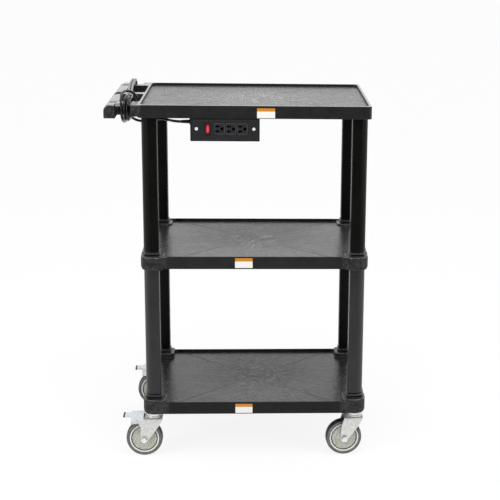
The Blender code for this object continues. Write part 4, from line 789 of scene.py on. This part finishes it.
strip_middle = 0.91865
plate_front = -0.2257
first_outlet = 0.0764
outlet_pitch = 0.0296
slot_offset = 0.0062
blade_spacing = 0.0127
blade_mouth = (0.0054, 0.0024)
ground_mouth = (0.0036, 0.0042)
outlet_rim = (0.0258, 0.0006, 0.0293)
plate_edge = 0.0007
rim_y = plate_front - 0.00025
low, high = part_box("power_faceplate")
# The plate's front border is painted pale, as painted highlight.
for face in plate.data.polygons:
    from_side = min(face.center.x - low.x, high.x - face.center.x)
    from_end = min(face.center.z - low.z, high.z - face.center.z)
    if min(from_side, from_end) < plate_edge and face.normal.y < -0.3:
        face.material_index = 1
for number in (1, 2, 3):
    outlet = dress("outlet_" + str(number), "outlet_insert_" + str(number), outlet_nylon,
                   "cart", 0.0003)
    x = strip_left + first_outlet + outlet_pitch * (number - 1)
    outlet.data.materials.append(slot_black)
    mouths = [(x - slot_offset, strip_middle + side * blade_spacing / 2, *blade_mouth) for side in (-1, 1)]
    mouths.append((x + slot_offset, strip_middle, *ground_mouth))
    planes = []
    for mouth_x, mouth_z, half_x, half_z in mouths:
        for side in (-1, 1):
            planes.append(((mouth_x + side * half_x, 0, 0), (1, 0, 0)))
            planes.append(((0, 0, mouth_z + side * half_z), (0, 0, 1)))
    slice_active(planes)
    # Faces round each slot are painted near-black, as painted shade of the hole.
    for face in outlet.data.polygons:
        for mouth_x, mouth_z, half_x, half_z in mouths:
            if abs(face.center.x - mouth_x) < half_x and abs(face.center.z - mouth_z) < half_z:
                face.material_index = 1
    settle_normals(outlet)
    clear_selection()
    bpy.ops.mesh.primitive_cube_add(size=1, location=(x, rim_y, strip_middle))
    rim = bpy.context.object
    rim.name = "outlet_rim_" + str(number)
    rim.scale = outlet_rim
    bpy.ops.object.transform_apply(location=True, rotation=True, scale=True)
    ends = [[rim.data.vertices[i].co.y for i in edge.vertices] for edge in rim.data.edges]
    pick(rim, "EDGE", lambda edge: abs(ends[edge.index][0] - ends[edge.index][1]) > 0.0003)
    bpy.ops.mesh.bevel(offset=0.0035, segments=5)
    pick(rim, "FACE", lambda face: abs(face.normal.y) > 0.9)
    bpy.ops.mesh.inset(thickness=0.0010)
    bpy.ops.mesh.bridge_edge_loops()
    bpy.ops.mesh.select_all(action="SELECT")
    bpy.ops.mesh.normals_make_consistent(inside=False)
    bpy.ops.object.mode_set(mode="OBJECT")
    bpy.ops.object.shade_smooth_by_angle(angle=math.radians(38))
    # The outlet rims are painted pale, as painted highlight.
    rim.data.materials.append(edge_painted_highlight)
    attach(rim, "cart")


def clear_red(name, lamp_place):
    """Red polycarbonate rocker: glossy, with the paler centre where the lamp behind it shows through."""
    made, tree, place = plastic(name, 0.22, 1.58)
    shift = tuple(-value for value in lamp_place)
    spot = add_node(tree, "ShaderNodeMapping", {"Location": shift}, {"Vector": place})
    stretch = add_node(tree, "ShaderNodeVectorMath", {"operation": "MULTIPLY", 1: (150, 0, 60)}, {0: spot})
    away = add_node(tree, "ShaderNodeVectorMath", {"operation": "LENGTH"}, {0: stretch})
    haze = add_node(tree, "ShaderNodeTexNoise", {"Scale": 300.0, "Detail": 2.0}, {"Vector": place})
    mixed = add_node(tree, "ShaderNodeMath", {"operation": "MULTIPLY_ADD", 1: 0.5},
                     {0: haze, 2: away.outputs["Value"]})
    tone = add_node(tree, "ShaderNodeValToRGB", {"stops": ((0.66, "#d64a54"), (1.0, "#5e0a0e"))}, {0: mixed})
    adjust(made, {"Emission Color": linear("#c8141c"), "Emission Strength": 0.12})
    return wire(made, {"Base Color": tone})


red_lens = clear_red("red_polycarbonate_lens", (strip_left + 0.0453, -0.2270, strip_middle))
dress("switch_rocker", "rocker_lens", red_lens, "switch_rocker", 0.0003)

nickel = drawn_metal("bright_nickel_plate", "#f0f0ee", "#fcfcfa", 0.30, (False, False, False), 1.0)
adjust(nickel, {"Metallic": 0.15})
screw_r = 0.0041
screw_height = 0.0018
screw_y = plate_front - 0.0012
recess_y = plate_front - 0.0019
recess = (0.0046, 0.0016, 0.0008)
for side, offset in (("left", 0.0161), ("right", 0.1654)):
    x = strip_left + offset
    clear_selection()
    bpy.ops.mesh.primitive_cylinder_add(vertices=32, radius=screw_r, depth=screw_height,
                                        location=(x, screw_y, strip_middle),
                                        rotation=(math.radians(90), 0, 0))
    screw = bpy.context.object
    screw.name = "strip_screw_" + side
    bpy.ops.object.transform_apply(location=True, rotation=True, scale=True)
    pick(screw, "FACE", lambda face: face.normal.y < -0.9)
    bpy.ops.mesh.bevel(offset=0.0008, segments=4)
    bpy.ops.object.mode_set(mode="OBJECT")
    for turn in (20, 110):
        clear_selection()
        bpy.ops.mesh.primitive_cube_add(size=1, location=(x, recess_y, strip_middle),
                                        rotation=(0, math.radians(turn), 0))
        blade = bpy.context.object
        blade.scale = recess
        bpy.ops.object.transform_apply(location=True, rotation=True, scale=True)
        take(screw)
        cut = screw.modifiers.new("recess", "BOOLEAN")
        cut.operation = "DIFFERENCE"
        cut.solver = "EXACT"
        cut.object = blade
        bpy.ops.object.modifier_apply(modifier=cut.name)
        bpy.data.objects.remove(blade, do_unlink=True)
    bpy.ops.object.shade_smooth_by_angle(angle=math.radians(35))
    screw.data.materials.append(nickel)
    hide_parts("faceplate_screw_" + side)
    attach(screw, "cart")


# Casters
# Four bought-in swivel casters with stamped, bright zinc forks. A threaded stem and a bearing cap hold each
# in its boss, and a hex bolt is the axle. The two under the handle carry a pressed brake pedal with a shoe.

def zinc_plate(name, dark, light, roughness, metallic=0.85):
    """Bright zinc plating: pale, with clouds 8 mm across where the bath left it and soft press marks."""
    made, tree, place = plastic(name, roughness)
    adjust(made, {"Metallic": metallic})
    cloud = add_node(tree, "ShaderNodeTexNoise", {"Scale": 130.0, "Detail": 5.0, "Roughness": 0.65},
                     {"Vector": place})
    worn = {"To Min": roughness - 0.08, "To Max": roughness + 0.12}
    return surface(made, cloud, ((0.30, dark), (0.72, light)), cloud, (0.08, 0.0004), worn)


# The caps are painted brighter than the forks, as a painted reflection of the white floor, and the pedals
# are a little bluer. The wheel's rim is paler than its core, the groove between them is painted dark as
# painted shade, and the tread is dirty from the floor.
zinc = zinc_plate("bright_zinc_plate", "#d3d3d1", "#f4f3f0", 0.34)
# The caps take a paler, less metallic zinc: a painted reflection of the white floor.
cap_painted_reflection = zinc_plate("zinc_cap_painted_reflection", "#e4e6e7", "#f8f9f9", 0.26, 0.45)
pedal_plate = zinc_plate("bright_zinc_pedal", "#d3dae0", "#eef3f7", 0.32, 0.6)
# The pedal is dark over its last few millimetres at the tip.
dark_tip = rubber_jacket("dark_pedal_tip", "#2b2b2b", "#3c3c3c", 0.5)
grey_core = moulded_abs("grey_polyolefin_core", "#9c9d91", "#d6d7cb", 0.48, 3.4, 0.30)
pale_rim = moulded_abs("pale_core_rim", "#dfdfdb", "#f0f0ec", 0.30, 1.6, 0.08)
groove_shade = moulded_abs("core_groove_painted_shade", "#161616", "#242424", 0.60, 1.6, 0.10)
grey_tyre = rubber_jacket("grey_thermoplastic_tyre", "#555553", "#7c7c7a", 0.55)
scuffed_tread = rubber_jacket("dirty_tyre_tread", "#1c1c1c", "#343433", 0.60)


def both_sides(half):
    """A wheel's closed profile of (radius, distance along the axle) from its half on one side."""
    mirrored = [(radius, -along) for radius, along in half]
    return mirrored + half[::-1] + mirrored[:1]


seats = {
    "fl": (-0.276, -0.195, 0), "fr": (0.276, -0.195, 5.5),
    "bl": (-0.276, 0.195, 0), "br": (0.276, 0.195, 0),
}
trail = 0.0285
axle_z = 0.05
tread_r = 0.0484
groove_outer_r = 0.0362
groove_inner_r = 0.0338
tip_reach = 0.0805
half_tyre = [(0.0410, 0.0132), (0.0416, 0.0146), (0.0428, 0.0156), (0.0444, 0.0160), (0.0460, 0.0156),
             (0.0474, 0.0146), (0.0486, 0.0128), (0.0494, 0.0102), (0.0499, 0.0068), (0.0500, 0.0030)]
half_core = [(0.0068, 0.0186), (0.0108, 0.0186), (0.0115, 0.0182), (0.0128, 0.0130), (0.0140, 0.0124),
             (0.0318, 0.0118), (0.0324, 0.0121), (0.0332, 0.0121), (0.0337, 0.0116), (0.0339, 0.0090),
             (0.0360, 0.0090), (0.0362, 0.0120), (0.0370, 0.0132), (0.0384, 0.0136), (0.0398, 0.0136),
             (0.0407, 0.0131)]
first_tyre = turned("tyre_tread_fl", both_sides(half_tyre), 96, (-trail, 0, axle_z), (0, 1, 0), (0, 0, 1))
first_tyre.data.materials.append(grey_tyre)
first_tyre.data.materials.append(scuffed_tread)
for face in first_tyre.data.polygons:
    face.material_index = 1 if math.hypot(face.center.x + trail, face.center.z - axle_z) > tread_r else 0
first_core = turned("wheel_core_fl", both_sides(half_core), 96, (-trail, 0, axle_z), (0, 1, 0), (0, 0, 1))
first_core.data.materials.append(grey_core)
first_core.data.materials.append(pale_rim)
first_core.data.materials.append(groove_shade)
for face in first_core.data.polygons:
    out = math.hypot(face.center.x + trail, face.center.z - axle_z)
    # The groove between rim and core is painted dark, as painted shade.
    if out > groove_outer_r:
        face.material_index = 1
    elif out > groove_inner_r:
        face.material_index = 2

wheel_pieces = ((first_tyre, "tyre_tread_", "tyre_"), (first_core, "wheel_core_", "wheel_hub_"))
for corner, (from_centre, y, heading) in seats.items():
    x = shelf_centre + from_centre
    place = Matrix.Translation((x, y, 0)) @ Matrix.Rotation(math.radians(heading), 4, "Z")
    for first, kind, node in wheel_pieces:
        piece = first.copy()
        piece.data = first.data.copy()
        piece.name = kind + corner + "_piece"
        piece.data.transform(place)
        bpy.context.scene.collection.objects.link(piece)
        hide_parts(node + corner)
        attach(piece, "wheel_" + corner)
    swivel = "swivel_" + corner
    dress("caster_fork_" + corner, "stamped_fork_" + corner, zinc, swivel, 0.0005)
    bolt = dress("axle_" + corner, "axle_bolt_" + corner, cap_painted_reflection, swivel, 0.0003)
    bolt.data.materials.append(groove_shade)
    # The upper flats of each bolt head are painted dark, as painted shade.
    for face in bolt.data.polygons:
        upper_flat = abs(face.normal.y) < 0.3 and face.normal.z > 0.3
        face.material_index = 1 if upper_flat else 0
    dress("bushing_" + corner, "spanner_bushing_" + corner, zinc, swivel, 0.0002)
    dress("caster_mount_" + corner, "stem_and_cap_" + corner, cap_painted_reflection, "cart", 0.0003)
    if corner in ("fl", "bl"):
        dress("brake_pin_" + corner, "pedal_rivet_" + corner, zinc, swivel, 0.0003)
        pedal = dress("brake_pedal_" + corner, "pressed_pedal_" + corner, pedal_plate,
                      "pedal_" + corner, 0.0004)
        pedal.data.materials.append(dark_tip)
        tip_end = x - tip_reach
        slice_active([((tip_end, y, 0.1), (1, 0, 0))])
        for face in pedal.data.polygons:
            face.material_index = 1 if face.center.x < tip_end - 0.00001 else 0
        settle_normals(pedal)
for first in (first_tyre, first_core):
    bpy.data.objects.remove(first, do_unlink=True)
